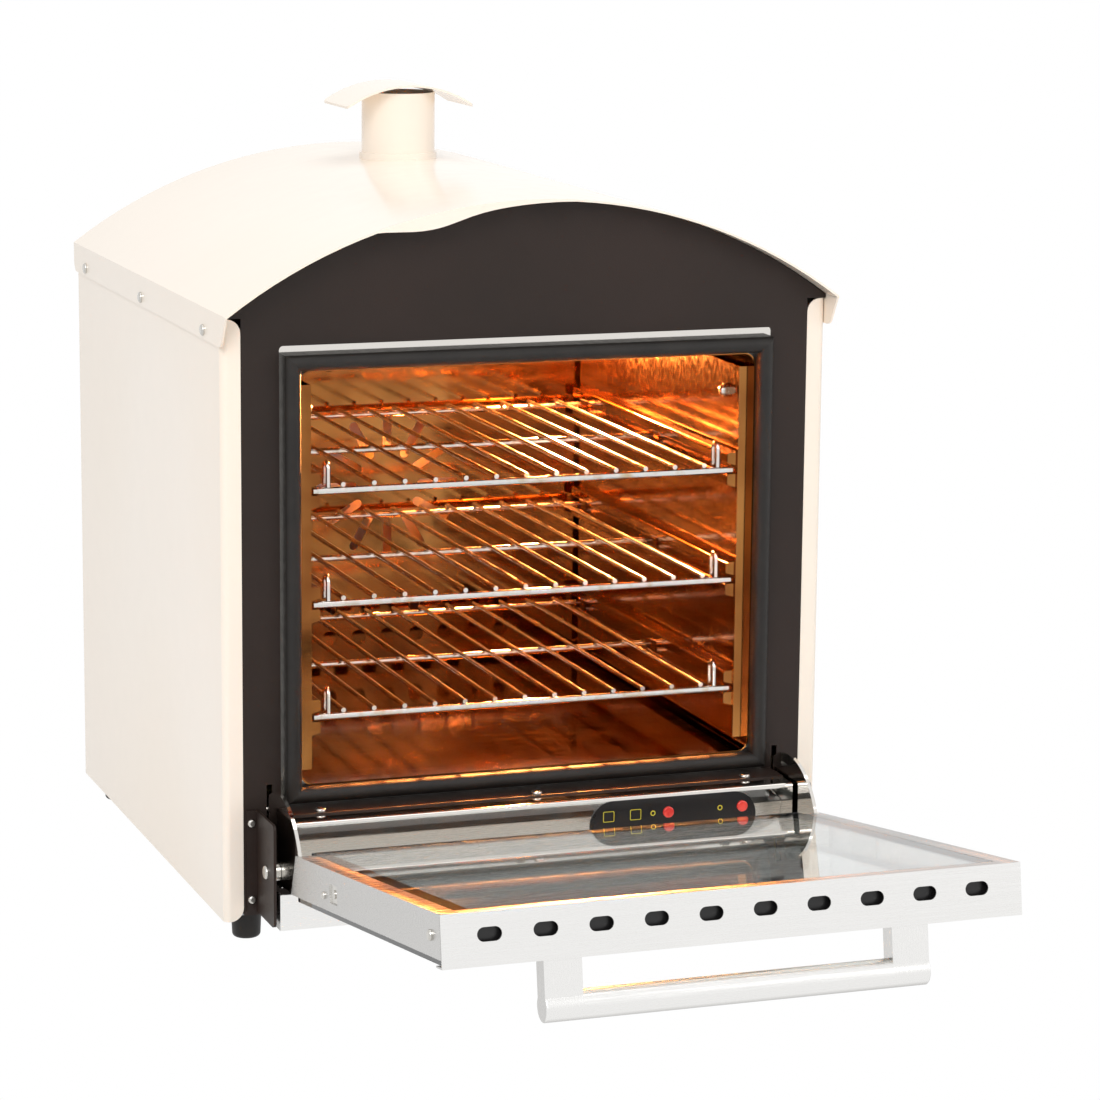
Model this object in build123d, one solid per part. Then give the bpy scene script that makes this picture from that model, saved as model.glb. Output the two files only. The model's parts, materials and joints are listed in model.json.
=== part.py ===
"""Counter-top potato oven with a drop-down glass door, shown open.

Millimetres, +Z up, +X to the right of someone facing the oven, -Y towards that
person. The sizes below are measured from the table (Z = 0), from the middle
(X = 0) and from the front of the casing (Y = 0). Each finished piece is then
moved so that the origin is the middle of the whole footprint, on the table.
"""
import os
from math import asin, cos, degrees, radians, sin, sqrt

from build123d import *

# ---------------------------------------------------------------- casing
casing_width = 450.0
casing_depth = 450.0
panel_bottom = 18.0          # underside of the side panels above the table
side_sheet = 1.2
side_flange = 14.0           # front and rear returns of a side panel
side_bend = 5.0              # outside radius of its vertical bends
flange_corner = 10.0         # rounded ends of the front return
eave_height = 450.0          # corner where the roof turns down
side_top_gap = 4.0           # side panel stops this far below the eave corner
roof_sheet = 1.5
roof_rise = 75.0             # arch above the eave corners
roof_front_overhang = 20.0
roof_rear_overhang = 2.5
eave_drop = 22.5             # height of the turned-down eave flange
eave_slant = 13.0            # set-back of the flange's lower front corner
eave_corner = 9.0
lip_wave = ((-145.0, 0.8), (-112.0, 3.4), (-90.0, 9.4), (-74.0, 10.8),
            (-50.0, 7.2), (-15.0, 3.7), (50.0, 0.8))  # front lip: x, depth below the arch
fit_gap = 0.3                # clearance between sheets that lie beside each other
lay_gap = 0.1                # clearance between sheets that lie on each other
screw_gap = 0.1              # radial clearance of a screw in its hole

# ---------------------------------------------------------------- fascia
fascia_sheet = 1.5
fascia_bottom = 22.0
fascia_side = 41.4           # casing side to the opening
opening_below_eave = 23.7
opening_bottom = 99.8
opening_corner = 3.0

# ---------------------------------------------------------------- cavity
cavity_side = 56.0           # casing side to the polished wall
cavity_floor_z = 115.0
cavity_below_eave = 42.0
motor_room = 60.0            # cavity's rear wall to the rear of the casing
cavity_sheet = 1.0
cavity_lip = 3.0             # the mouth stands this far proud of the fascia
cavity_corner = 8.0
frame_border = 5.0           # how far the front frame runs behind the fascia
gasket_gap = 1.2             # between the cavity mouth and the gasket
gasket_width = 11.3
gasket_proud = 12.4          # how far the gasket stands in front of the fascia
fan_room = 45.0              # fan cover's front to the rear wall
baffle_sheet = 1.0
baffle_edge = 6.0            # clear border around the fan cover
baffle_hole = 12.0
baffle_hole_pitch = 24.0
baffle_rows = 4
baffle_columns = 9
spacer_rise = 95.0
spacer_inset = 12.0
spacer_radius = 5.0
spacer_bore = 2.0
baffle_intake = 62.0         # radius of the ring of intake slots
baffle_intake_slots = 12

# ---------------------------------------------------------------- racks
rack_first = 45.0            # lower rack above the cavity floor
rack_headroom = 86.0         # upper rack below the cavity roof
rack_count = 3
rack_front = 8.0             # front bar behind the fascia plane
rack_behind = 17.0           # rear bar in front of the fan cover
rack_end_gap = 2.5           # bar end to runner panel
rack_bar = 5.0
rack_wire = 3.4
rack_wires = 13
weld_gap = 0.02              # a welded wire lies this far from its bar
rack_wire_inset = 21.9       # outermost wires from the bar's end
hoop_height = 17.0
hoop_reach = 9.0             # distance between the two legs of a hoop
hoop_inset = 11.0            # hoop from the end of the front bar
rack_push = 9.0              # sliding travel towards the back
rack_pull = 12.0             # sliding travel towards the door
runner_sheet = 1.0
runner_front = 3.0
runner_behind = 7.0          # runner panel's end in front of the fan cover
runner_clear = 9.0           # from the cavity's floor and roof
runner_top_clear = 10.0
runner_inset = 9.0           # polished face of a runner panel inside the cavity wall
rib_proud = 7.0              # pressed rib stands this far into the cavity
rib_height = 9.0
rib_pair_gap = 7.0           # groove between the two ribs of a rack
rib_slope = 1.0
rib_root = 0.5               # the rib starts this far inside its sheet
rib_round = 1.5
rib_end = 2.0                # rib's end inside the panel's end
nut_across = 9.0
nut_stud = 2.3
nut_height = 6.6
nut_flats = 3.6
nut_inset_y = 22.0
nut_inset_z = 20.0

# ---------------------------------------------------------------- fan and heater
fan_radius = 70.0
fan_blades = 10
blade_depth = 18.0
blade_sheet = 1.2
fan_hub = 14.0
shaft_radius = 4.0
shaft_clearance = 0.05
motor_radius = 41.0
motor_length = 48.0
motor_plate = 2.0
motor_flange = 55.0          # half side of the mounting plate
shaft_reach = 22.0           # shaft runs this far into the motor
shaft_end_gap = 2.0
element_radius = 88.0
element_tube = 4.0
lamp_radius = 22.0
lamp_side = 49.0             # lamp centre inside the right wall
lamp_ahead = 48.0            # lamp centre in front of the fan cover
lamp_dome = 10.0

# ---------------------------------------------------------------- lower box
box_reach = 44.0             # control box stands this far in front of the fascia
box_top = 98.5
box_side = 36.5              # casing side to the control box
box_split = 48.0             # control fascia above, base panel below
box_sheet = 1.2
box_bend = 3.0
base_side = 28.5
strip_depth = 26.0           # dark strip that covers the back of the ledge
strip_sheet = 1.2
strip_screw_inset = 28.0
strip_screw_y = -20.5
bracket_side = 25.0          # casing side to the hinge side plates
bracket_sheet = 2.0
bracket_reach = 47.0
bracket_bottom = 25.0
bracket_foot = 14.0          # flange that is screwed to the fascia
overlay_inset = 29.0         # right end of the overlay inside the control box
overlay_length = 127.5
overlay_height = 35.0
overlay_below = 2.5          # top of the overlay below the ledge
overlay_sheet = 0.8
button_above = 6.3           # buttons above the middle of the overlay
button_inset = (67.8, 10.7)  # buttons from the right end of the overlay
button_radius = 4.0
button_gap = 0.25
button_proud = 1.6
button_travel = 1.0
button_stem = 1.6
board_sheet = 1.6
board_behind = 14.0          # control board behind the control fascia

# ---------------------------------------------------------------- hinge and door
pivot_y = -29.4
pivot_z = 61.0
door_rise = 8.7              # the open door still rises this many degrees
door_side = 30.5             # casing side to the door
door_plane = 16.3            # inner face of the door behind the pivot, door closed
door_below_eave = 12.5       # top of the closed door below the eave corner
rail_depth = 28.5
rail_flange = 12.5
rail_sheet = 1.2
rail_start = 34.0            # foot of the slanted rail end, from the pivot
rail_slant = 16.0
door_start = 42.0            # glass and cross rail start here, clear of the box
top_rail_depth = 34.0
top_rail_flange = 12.0
vent_slots = 10
vent_end = 31.15             # outermost slot centres inside the door's side
vent_length = 16.0
vent_height = 9.0
glass_sheet = 4.0
glass_gap = 0.4
seat_sheet = 1.0
seat_width = 14.0
quadrant_radius = 55.0
quadrant_sheet = 2.5
quadrant_tail = 38.0         # degrees that the plate reaches past a right angle
quadrant_boss = 12.0
quadrant_lap = 78.0          # how far the plate runs up inside the rail
quadrant_slot_gap = 0.8
slot_top = 116.0
slot_bottom = 34.0
stud_radius = 2.5
stud_reach = 49.5
pin_radius = 3.0
pin_clearance = 0.05
pin_head = 5.0
bush_radius = 6.5
catch_from = 132.0
catch_length = 17.5
catch_depth = 16.0           # middle of the catch window below the inner face
catch_height = 13.0

# ---------------------------------------------------------------- handle
handle_radius = 9.5
handle_side = 65.5           # handle's end inside the door's side
handle_end = 25.0
handle_below = 8.5           # handle's middle below the top of the door
handle_drop = 64.3
post_depth = 14.0

# ---------------------------------------------------------------- chimney
chimney_ahead = 133.0        # chimney's middle in front of the casing's rear
chimney_radius = 28.3
chimney_sheet = 1.2
chimney_height = 50.2        # above the crown of the roof
chimney_below = 17.0         # the tube reaches down below the crown
collar_height = 4.0
collar_width = 1.7
duct_radius = 22.0
duct_below = 15.0            # duct's end below the top of the chimney
cap_half = 50.5
cap_length = 68.0
cap_above = 6.8              # top of the cap above the tube
cap_rise = 15.4
cap_sheet = 1.5
strap_width = 12.0
strap_inside = 15.0          # strap's legs reach this far into the tube

# ---------------------------------------------------------------- feet, rear, fasteners
foot_radius = 11.0
foot_inset_x = 22.0
foot_inset_y = 24.0
foot_round = 3.0
foot_screw = 2.5
tray_z = 22.0
tray_sheet = 1.2
tray_wall = 12.0
rear_sheet = 1.2
rear_inset = 1.3             # rear panel lies inside the rear returns
rear_vents = 8
rear_vent_length = 34.0
rear_vent_height = 5.0
rear_vent_gap = 10.0
rear_vent_rows = 15.0        # between the two rows of a pair
rear_vent_low = 88.0         # lowest row above the tray
rear_vent_high = 5.0         # highest row below the eave corner
rear_screw_side = 20.0       # rear panel's side screws inside the casing
rear_screw_up = 8.0          # bottom screws above the tray
rear_screw_top = 50.0        # side screws below the eave corner
rear_bottom_screws = 4
inlet_side = 75.0            # inlet inside the left side
inlet_above = 40.0           # inlet above the tray
inlet_bore = 4.6
inlet_radius = 10.0
inlet_length = 22.0
inlet_out = 8.0              # how far the inlet stands out behind the rear panel
strap_sheet = 1.5
screw_head = 4.0             # radius of a pan head
screw_head_height = 2.2
screw_shank = 2.0
eave_screws = 3
eave_screw_inset = 40.0
eave_screw_below = 16.0
wool_gap = 0.2               # between the cavity and the insulation
wool_depth = 26.0
wool_front = 32.0            # jacket behind the fascia plane
wool_behind = 4.0            # jacket's end in front of the rear wall
cradle_width = 300.0
cradle_depth = 24.0
cradle_sheet = 1.5
cradle_inset = 38.0          # cradle bars from the jacket's ends

# ---------------------------------------------------------------- worked out
half_width = casing_width / 2
opening_half = half_width - fascia_side
opening_top = eave_height - opening_below_eave
cavity_half = half_width - cavity_side
cavity_roof_z = eave_height - cavity_below_eave
cavity_back = casing_depth - motor_room
baffle_plane = cavity_back - fan_room
runner_face = cavity_half - runner_inset
runner_end = baffle_plane - runner_behind
runner_bottom = cavity_floor_z + runner_clear
runner_top = cavity_roof_z - runner_top_clear
rack_half = runner_face - rack_end_gap
rack_rear = baffle_plane - rack_behind
rack_pitch = (cavity_roof_z - rack_headroom - cavity_floor_z - rack_first) / (rack_count - 1)
rack_levels = [cavity_floor_z + rack_first + index * rack_pitch for index in range(rack_count)]
rack_wire_pitch = 2 * (rack_half - rack_wire_inset) / (rack_wires - 1)
lamp_x = cavity_half - lamp_side
lamp_y = baffle_plane - lamp_ahead
fan_z = (cavity_floor_z + cavity_roof_z) / 2
box_half = half_width - box_side
base_half = half_width - base_side
strip_screw_x = box_half - strip_screw_inset
bracket_inner = half_width - bracket_side
overlay_right = box_half - overlay_inset
overlay_left = overlay_right - overlay_length
overlay_top = box_top - overlay_below
overlay_bottom = overlay_top - overlay_height
button_z = (overlay_top + overlay_bottom) / 2 + button_above
button_x = [overlay_right - inset for inset in button_inset]
door_half = half_width - door_side
door_length = eave_height - door_below_eave - pivot_z
vent_pitch = 2 * (door_half - vent_end) / (vent_slots - 1)
handle_half = door_half - handle_side
handle_along = door_length - handle_below
crown = eave_height + roof_rise
chimney_y = casing_depth - chimney_ahead
chimney_top = crown + chimney_height
chimney_foot = crown - chimney_below
duct_top = chimney_top - duct_below
cap_apex = chimney_top + cap_above
strap_leg = cap_above + strap_inside
inlet_x = inlet_side - half_width
inlet_z = tray_z + inlet_above
eave_half = half_width + fit_gap + roof_sheet
side_top = eave_height - side_top_gap
roof_radius = (eave_half ** 2 + roof_rise ** 2) / (2 * roof_rise)
roof_centre = eave_height + roof_rise - roof_radius
door_swing = 90.0 - door_rise
foot_top = tray_z
quadrant_outer = door_half - rail_sheet - 0.1
quadrant_inner = quadrant_outer - quadrant_sheet
door_outer_glass = rail_depth + glass_sheet
element_plane = baffle_plane + 22.0
fan_plane = baffle_plane + 14.0
gasket_inner = cavity_half + gasket_gap
gasket_outer = gasket_inner + gasket_width
front_reach = (-pivot_y + handle_along * cos(radians(door_rise)) + handle_radius
               + (handle_drop - door_plane) * sin(radians(door_rise)))
footprint_middle = (casing_depth - rear_inset + inlet_out - front_reach) / 2


# ---------------------------------------------------------------- helpers
def block(x0, x1, y0, y1, z0, z1):
    """Box between two opposite corners."""
    size = (abs(x1 - x0), abs(y1 - y0), abs(z1 - z0))
    return Pos((x0 + x1) / 2, (y0 + y1) / 2, (z0 + z1) / 2) * Box(*size)


def rod(start, end, radius):
    """Round bar between two points."""
    line = Vector(*end) - Vector(*start)
    plane = Plane(origin=start, z_dir=line.normalized())
    return extrude(plane * Circle(radius), line.length)


def tube(start, end, outer, inner):
    """Straight tube between two points."""
    return rod(start, end, outer) - rod(start, end, inner)


def facing_front(sketch, y, depth):
    """Extrude a sketch drawn in X and Z from the plane y towards the back."""
    plane = Plane(origin=(0, y, 0), x_dir=(1, 0, 0), z_dir=(0, -1, 0))
    return extrude(plane * sketch, -depth)


def facing_side(sketch, x, depth):
    """Extrude a sketch drawn in Y and Z from the plane x towards +X."""
    plane = Plane(origin=(x, 0, 0), x_dir=(0, 1, 0), z_dir=(1, 0, 0))
    return extrude(plane * sketch, depth)


def mirrored(shape):
    """The same piece on the other side of the oven."""
    return mirror(shape, Plane.YZ)


def pan_screw(at, direction, length, head=screw_head, shank=screw_shank):
    """Pan-head screw: domed head on the surface, shank the other way."""
    plane = Plane(origin=at, z_dir=direction)
    dome = extrude(plane * Circle(head), screw_head_height)
    dome = fillet(dome.edges().filter_by(GeomType.CIRCLE).sort_by(
        lambda e: (e.center() - Vector(*at)).length)[-1], screw_head_height * 0.7)
    return dome + extrude(plane * Circle(shank), -length)


def arch(half, bottom, offset):
    """Area under the roof line, set in by an offset, down to a straight bottom."""
    radius = roof_radius - offset
    side = roof_centre + sqrt(radius ** 2 - half ** 2)
    crown = roof_centre + radius
    outline = [
        Line((-half, bottom), (half, bottom)),
        Line((half, bottom), (half, side)),
        ThreePointArc((half, side), (0, crown), (-half, side)),
        Line((-half, side), (-half, bottom)),
    ]
    return make_face(Wire(outline))


def door_place(shape):
    """Turn a piece of the upright door down to its open position."""
    return Pos(0, pivot_y, pivot_z) * Rot(door_swing, 0, 0) * shape


def door_block(x0, x1, along0, along1, drop0, drop1):
    """Box in the door: along it from the pivot, and outwards from its inner face."""
    return block(x0, x1, door_plane - drop1, door_plane - drop0, along0, along1)


def save(name, shape):
    """Write one piece, moved to the origin of the whole oven."""
    export_step(Pos(0, -footprint_middle, 0) * shape, os.path.join("parts", name + ".step"))


# ---------------------------------------------------------------- casing pieces
def side_panel():
    """Left side: one sheet bent round at the front and at the rear."""
    outer = Pos(-half_width + side_flange / 2, casing_depth / 2) * Rectangle(side_flange, casing_depth)
    outer = fillet(outer.vertices().group_by(Axis.X)[0], side_bend)
    inner = Pos(-half_width + side_sheet + side_flange / 2, casing_depth / 2) * Rectangle(
        side_flange, casing_depth - 2 * side_sheet)
    inner = fillet(inner.vertices().group_by(Axis.X)[0], side_bend - side_sheet)
    sheet = extrude(Pos(0, 0, panel_bottom) * (outer - inner), side_top - panel_bottom)
    keep = Pos(-half_width + side_flange / 2, (panel_bottom + side_top) / 2) * Rectangle(
        side_flange, side_top - panel_bottom)
    keep = fillet(keep.vertices().group_by(Axis.X)[-1], flange_corner)
    trim = facing_front(keep, 0, casing_depth)
    return sheet & trim


def roof_outline():
    """Roof section: arch and eave flanges, as a closed band."""
    flange_end = eave_height - eave_drop
    inner_half = eave_half - roof_sheet
    inner_radius = roof_radius - roof_sheet
    inner_side = roof_centre + sqrt(inner_radius ** 2 - inner_half ** 2)
    outline = [
        ThreePointArc((-eave_half, eave_height), (0, eave_height + roof_rise), (eave_half, eave_height)),
        Line((eave_half, eave_height), (eave_half, flange_end)),
        Line((eave_half, flange_end), (inner_half, flange_end)),
        Line((inner_half, flange_end), (inner_half, inner_side)),
        ThreePointArc((inner_half, inner_side), (0, roof_centre + inner_radius), (-inner_half, inner_side)),
        Line((-inner_half, inner_side), (-inner_half, flange_end)),
        Line((-inner_half, flange_end), (-eave_half, flange_end)),
        Line((-eave_half, flange_end), (-eave_half, eave_height)),
    ]
    return make_face(Wire(outline))


def roof_height(x, offset=0.0):
    """Height of the roof line at a distance from the middle."""
    return roof_centre + sqrt((roof_radius - offset) ** 2 - x ** 2)


def roof_lip():
    """Wavy front lip: hangs from the front edge, deepest left of the middle."""
    points = [(x, roof_height(x) - drop) for x, drop in lip_wave]
    lower = Spline(points)
    cover = 0.8
    upper = ThreePointArc(points[-1], (0, roof_height(0) - cover), points[0])
    face = make_face(Wire([lower, upper]))
    return facing_front(face, -roof_front_overhang, roof_sheet)


def roof_panel():
    """Arched roof sheet with slanted eave ends, the chimney hole and the front lip."""
    y0 = -roof_front_overhang
    y1 = casing_depth + roof_rear_overhang
    sheet = facing_front(roof_outline(), y0, y1 - y0)
    flange_end = eave_height - eave_drop
    corner = Polyline((y0, eave_height - 1), (y0 + eave_slant, flange_end),
                      (y1, flange_end), (y1, eave_height + roof_rise + 1),
                      (y0, eave_height + roof_rise + 1), close=True)
    keep = make_face(corner)
    keep = fillet(keep.vertices().group_by(Axis.Y)[0], eave_corner)
    sheet = sheet & facing_side(keep, -eave_half, 2 * eave_half)
    sheet = sheet + roof_lip()
    sheet -= rod((0, chimney_y, eave_height), (0, chimney_y, cap_apex), chimney_radius + fit_gap)
    for y in eave_screw_rows():
        z = eave_height - eave_screw_below
        sheet -= rod((-eave_half - 1, y, z), (1 - half_width, y, z), screw_shank + screw_gap)
        sheet -= rod((half_width - 1, y, z), (eave_half + 1, y, z), screw_shank + screw_gap)
    return sheet


def eave_screw_rows():
    """Distances of the eave screws behind the front of the casing."""
    step = (casing_depth - 2 * eave_screw_inset) / (eave_screws - 1)
    return [eave_screw_inset + index * step for index in range(eave_screws)]


def fascia():
    """Dark front sheet: arched, with shoulders over the side returns and the opening."""
    half = half_width - side_flange - fit_gap
    shoulder = side_top + fit_gap
    plate = arch(half_width, fascia_bottom, roof_sheet + fit_gap)
    side_x = (half + half_width + 1) / 2
    side_cut = Rectangle(half_width + 1 - half, shoulder - fascia_bottom + 1)
    side_cut = Pos(side_x, (shoulder + fascia_bottom - 1) / 2) * side_cut
    plate = plate - side_cut - Pos(-2 * side_x, 0) * side_cut
    opening = Pos(0, (opening_top + opening_bottom) / 2) * Rectangle(
        2 * opening_half, opening_top - opening_bottom)
    opening = fillet(opening.vertices(), opening_corner)
    plate = plate - opening
    slot_x = (quadrant_outer + quadrant_inner) / 2
    slot_width = quadrant_sheet + 2 * quadrant_slot_gap
    for sign in (-1, 1):
        plate -= Pos(sign * slot_x, (slot_top + slot_bottom) / 2) * Rectangle(
            slot_width, slot_top - slot_bottom)
    return facing_front(plate, 0, fascia_sheet)


def rear_panel():
    """Rear sheet between the side returns, with vent slots and the inlet hole."""
    half = half_width - side_bend
    plate = arch(half, tray_z + tray_sheet + fit_gap, roof_sheet + fit_gap)
    for x, z in rear_screw_places():
        plate -= Pos(x, z) * Circle(screw_shank + screw_gap)
    low = tray_z + rear_vent_low
    high = eave_height - rear_vent_high
    for row in (low, low + rear_vent_rows, high - rear_vent_rows, high):
        for column in range(rear_vents):
            x = (column - (rear_vents - 1) / 2) * (rear_vent_length + rear_vent_gap)
            plate -= Pos(x, row) * SlotOverall(rear_vent_length, rear_vent_height)
    plate -= Pos(inlet_x, inlet_z) * Circle(inlet_radius - 2.2)
    return facing_front(plate, casing_depth - rear_inset - rear_sheet, rear_sheet)


def rear_screw_places():
    """Screws of the rear panel: four along the bottom, two at the sides."""
    side = half_width - rear_screw_side
    step = 2 * side / (rear_bottom_screws - 1)
    bottom = [(index * step - side, tray_z + rear_screw_up) for index in range(rear_bottom_screws)]
    return bottom + [(sign * side, eave_height - rear_screw_top) for sign in (-1, 1)]


def base_tray():
    """Shallow tray that carries the inside and the feet, open at the front."""
    width = casing_width - 2 * (side_sheet + fit_gap)
    y0 = fascia_sheet + lay_gap
    y1 = casing_depth - rear_inset - rear_sheet - lay_gap
    middle = (y0 + y1) / 2
    plan = Pos(0, middle) * RectangleRounded(width, y1 - y0, side_bend)
    inside = Pos(0, middle - 40) * Rectangle(width - 2 * tray_sheet, y1 - y0 + 80 - 2 * tray_sheet)
    tray = extrude(Pos(0, 0, tray_z) * plan, tray_sheet + tray_wall)
    tray -= extrude(Pos(0, 0, tray_z + tray_sheet) * inside, tray_wall + 1)
    tray -= block(-width, width, y0 - 1, y0 + 34, tray_z + tray_sheet, tray_z + tray_wall + 9)
    for x, y in foot_places():
        tray -= rod((x, y, tray_z - 1), (x, y, tray_z + tray_wall), foot_screw + screw_gap)
    return tray


def foot_places():
    """Centres of the four feet."""
    x = half_width - foot_inset_x
    return [(sx * x, y) for sx in (-1, 1) for y in (foot_inset_y, casing_depth - foot_inset_y)]


def foot(x, y):
    """Rubber foot: a slightly tapered puck with a rounded lower edge."""
    puck = loft([Pos(x, y, 0) * Circle(foot_radius - 1), Pos(x, y, foot_top) * Circle(foot_radius)])
    puck = fillet(puck.edges().filter_by(GeomType.CIRCLE).sort_by(Axis.Z)[0], foot_round)
    recess = rod((x, y, -1), (x, y, foot_top - 8), foot_screw + 2.6)
    return puck - recess - rod((x, y, 0), (x, y, foot_top), foot_screw + fit_gap)


def foot_screws():
    """One screw up through each foot into the tray."""
    screws = []
    for x, y in foot_places():
        head = rod((x, y, foot_top - 8 - 2.4), (x, y, foot_top - 8), foot_screw + 2)
        screws.append(head + rod((x, y, foot_top - 8), (x, y, tray_z + tray_sheet + 3), foot_screw))
    return Compound(screws)


def roof_screws():
    """Pan screws along both eave flanges."""
    screws = []
    for y in eave_screw_rows():
        at = (-eave_half, y, eave_height - eave_screw_below)
        screw = pan_screw(at, (-1, 0, 0), roof_sheet)
        screws += [screw, mirrored(screw)]
    return Compound(screws)


def rear_screws():
    """Pan screws that hold the rear panel."""
    screws = []
    y = casing_depth - rear_inset
    for x, z in rear_screw_places():
        screws.append(pan_screw((x, y, z), (0, 1, 0), rear_sheet))
    return Compound(screws)


def cable_inlet():
    """Gland for the supply cable: flange outside, neck inside, straight bore."""
    y = casing_depth - rear_inset
    neck = rod((inlet_x, y - inlet_length, inlet_z), (inlet_x, y + inlet_out, inlet_z), inlet_radius - 2.3)
    cap_nut = extrude(Plane(origin=(inlet_x, y, inlet_z), z_dir=(0, 1, 0)) * RegularPolygon(
        inlet_radius, 6), 6)
    lock_nut = extrude(Plane(origin=(inlet_x, y - rear_sheet, inlet_z), z_dir=(0, -1, 0)) * RegularPolygon(
        inlet_radius, 6), 4)
    bore = rod((inlet_x, y - inlet_length - 1, inlet_z), (inlet_x, y + inlet_out + 1, inlet_z), inlet_bore)
    return neck + cap_nut + lock_nut - bore


# ---------------------------------------------------------------- chimney pieces
def chimney_tube():
    """Vertical tube through the roof."""
    return tube((0, chimney_y, chimney_foot), (0, chimney_y, chimney_top),
                chimney_radius, chimney_radius - chimney_sheet)


def chimney_collar():
    """Thin ring where the tube meets the roof, cut to the roof's curve."""
    ring = tube((0, chimney_y, crown - 6), (0, chimney_y, crown + collar_height),
                chimney_radius + collar_width, chimney_radius)
    below = facing_front(arch(half_width, eave_height - 40, 0), chimney_y - 60, 120)
    return ring - below


def vent_duct():
    """Steam duct from the cavity roof up into the chimney."""
    base = cavity_roof_z + cavity_sheet
    pipe = tube((0, chimney_y, base), (0, chimney_y, duct_top), duct_radius, duct_radius - 1)
    flange = tube((0, chimney_y, base), (0, chimney_y, base + 1), duct_radius + 8, duct_radius - 1)
    return pipe + flange


def cap_face(thick):
    """Section of the arched cap: a band of one thickness."""
    radius = (cap_half ** 2 + cap_rise ** 2) / (2 * cap_rise)
    low = cap_apex - cap_rise
    inner_apex = cap_apex - thick
    inner_low = inner_apex + sqrt((radius - thick) ** 2 - cap_half ** 2) - (radius - thick)
    outline = [
        ThreePointArc((-cap_half, low), (0, cap_apex), (cap_half, low)),
        Line((cap_half, low), (cap_half, inner_low)),
        ThreePointArc((cap_half, inner_low), (0, inner_apex), (-cap_half, inner_low)),
        Line((-cap_half, inner_low), (-cap_half, low)),
    ]
    return make_face(Wire(outline))


def chimney_cap():
    """Arched rain cap over the tube."""
    plate = facing_front(cap_face(cap_sheet), chimney_y - cap_length / 2, cap_length)
    keep = Pos(0, chimney_y, 0) * RectangleRounded(2 * cap_half, cap_length, 4)
    return plate & extrude(Pos(0, 0, chimney_top - 30) * keep, 60)


def cap_strap():
    """Bent strap inside the tube: a crown under the cap and two legs."""
    half = chimney_radius - chimney_sheet
    radius = (cap_half ** 2 + cap_rise ** 2) / (2 * cap_rise) - cap_sheet
    top = cap_apex - cap_sheet
    side = top - radius + sqrt(radius ** 2 - half ** 2)
    end = cap_apex - strap_leg
    inner = half - strap_sheet
    outline = [
        ThreePointArc((-half, side), (0, top), (half, side)),
        Line((half, side), (half, end)),
        Line((half, end), (inner, end)),
        Line((inner, end), (inner, side - strap_sheet)),
        ThreePointArc((inner, side - strap_sheet), (0, top - strap_sheet), (-inner, side - strap_sheet)),
        Line((-inner, side - strap_sheet), (-inner, end)),
        Line((-inner, end), (-half, end)),
        Line((-half, end), (-half, side)),
    ]
    strap = facing_front(make_face(Wire(outline)), chimney_y - strap_width / 2, strap_width)
    return strap & rod((0, chimney_y, end - 1), (0, chimney_y, top + 1), half)


# ---------------------------------------------------------------- cavity pieces
def mouth_profile(grow):
    """Cavity section with rounded lower corners, grown by a sheet or a gap."""
    width = 2 * (cavity_half + grow)
    height = cavity_roof_z - cavity_floor_z + 2 * grow
    face = Pos(0, (cavity_roof_z + cavity_floor_z) / 2) * Rectangle(width, height)
    return fillet(face.vertices(), cavity_corner + grow)


def cavity_sleeve():
    """The whole wrap of the cavity, before it is parted into its panels."""
    band = mouth_profile(cavity_sheet) - mouth_profile(0)
    return facing_front(band, -cavity_lip, cavity_back + cavity_lip)


def cavity_panels():
    """Floor, roof and the two walls, parted where the real panels are welded."""
    sleeve = cavity_sleeve()
    seam_low = cavity_floor_z + cavity_corner + 2
    seam_high = cavity_roof_z - cavity_corner - 2
    far = cavity_half + 20
    y0, y1 = -cavity_lip - 1, cavity_back + 1
    return {
        "cavity_floor": sleeve & block(-far, far, y0, y1, cavity_floor_z - 20, seam_low),
        "cavity_roof": (sleeve & block(-far, far, y0, y1, seam_high, cavity_roof_z + 20))
        - rod((0, chimney_y, seam_high), (0, chimney_y, cavity_roof_z + 5), duct_radius - 1)
        - rod((lamp_x, lamp_y, seam_high), (lamp_x, lamp_y, cavity_roof_z + 5), lamp_radius + fit_gap),
        "cavity_wall_left": sleeve & block(-far, 0, y0, y1, seam_low, seam_high),
        "cavity_wall_right": sleeve & block(0, far, y0, y1, seam_low, seam_high),
    }


def cavity_back_wall():
    """Rear wall of the cavity with the shaft hole and the heater's two holes."""
    plate = mouth_profile(cavity_sheet)
    plate -= Pos(0, fan_z) * Circle(shaft_radius + 3)
    for sign in (-1, 1):
        plate -= Pos(sign * 30, fan_z - element_radius - 22) * Circle(element_tube + fit_gap)
    return facing_front(plate, cavity_back, cavity_sheet)


def front_frame():
    """Bright frame behind the fascia, round the cavity mouth."""
    outer = Pos(0, (opening_top + opening_bottom) / 2) * Rectangle(
        2 * (opening_half + frame_border), opening_top - opening_bottom + 2 * frame_border)
    ring = outer - mouth_profile(cavity_sheet + 0.05)
    return facing_front(ring, fascia_sheet, cavity_sheet)


def gasket_section():
    """Half-round rubber profile: flat foot, curved front, drawn at the left side."""
    foot_y = fascia_sheet
    front_y = -gasket_proud
    mid = (gasket_inner + gasket_outer) / 2
    outline = [
        Line((-gasket_outer, foot_y), (-gasket_outer, front_y * 0.45)),
        ThreePointArc((-gasket_outer, front_y * 0.45), (-mid, front_y), (-gasket_inner, front_y * 0.55)),
        Line((-gasket_inner, front_y * 0.55), (-gasket_inner, foot_y)),
        Line((-gasket_inner, foot_y), (-gasket_outer, foot_y)),
    ]
    return make_face(Wire(outline))


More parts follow.
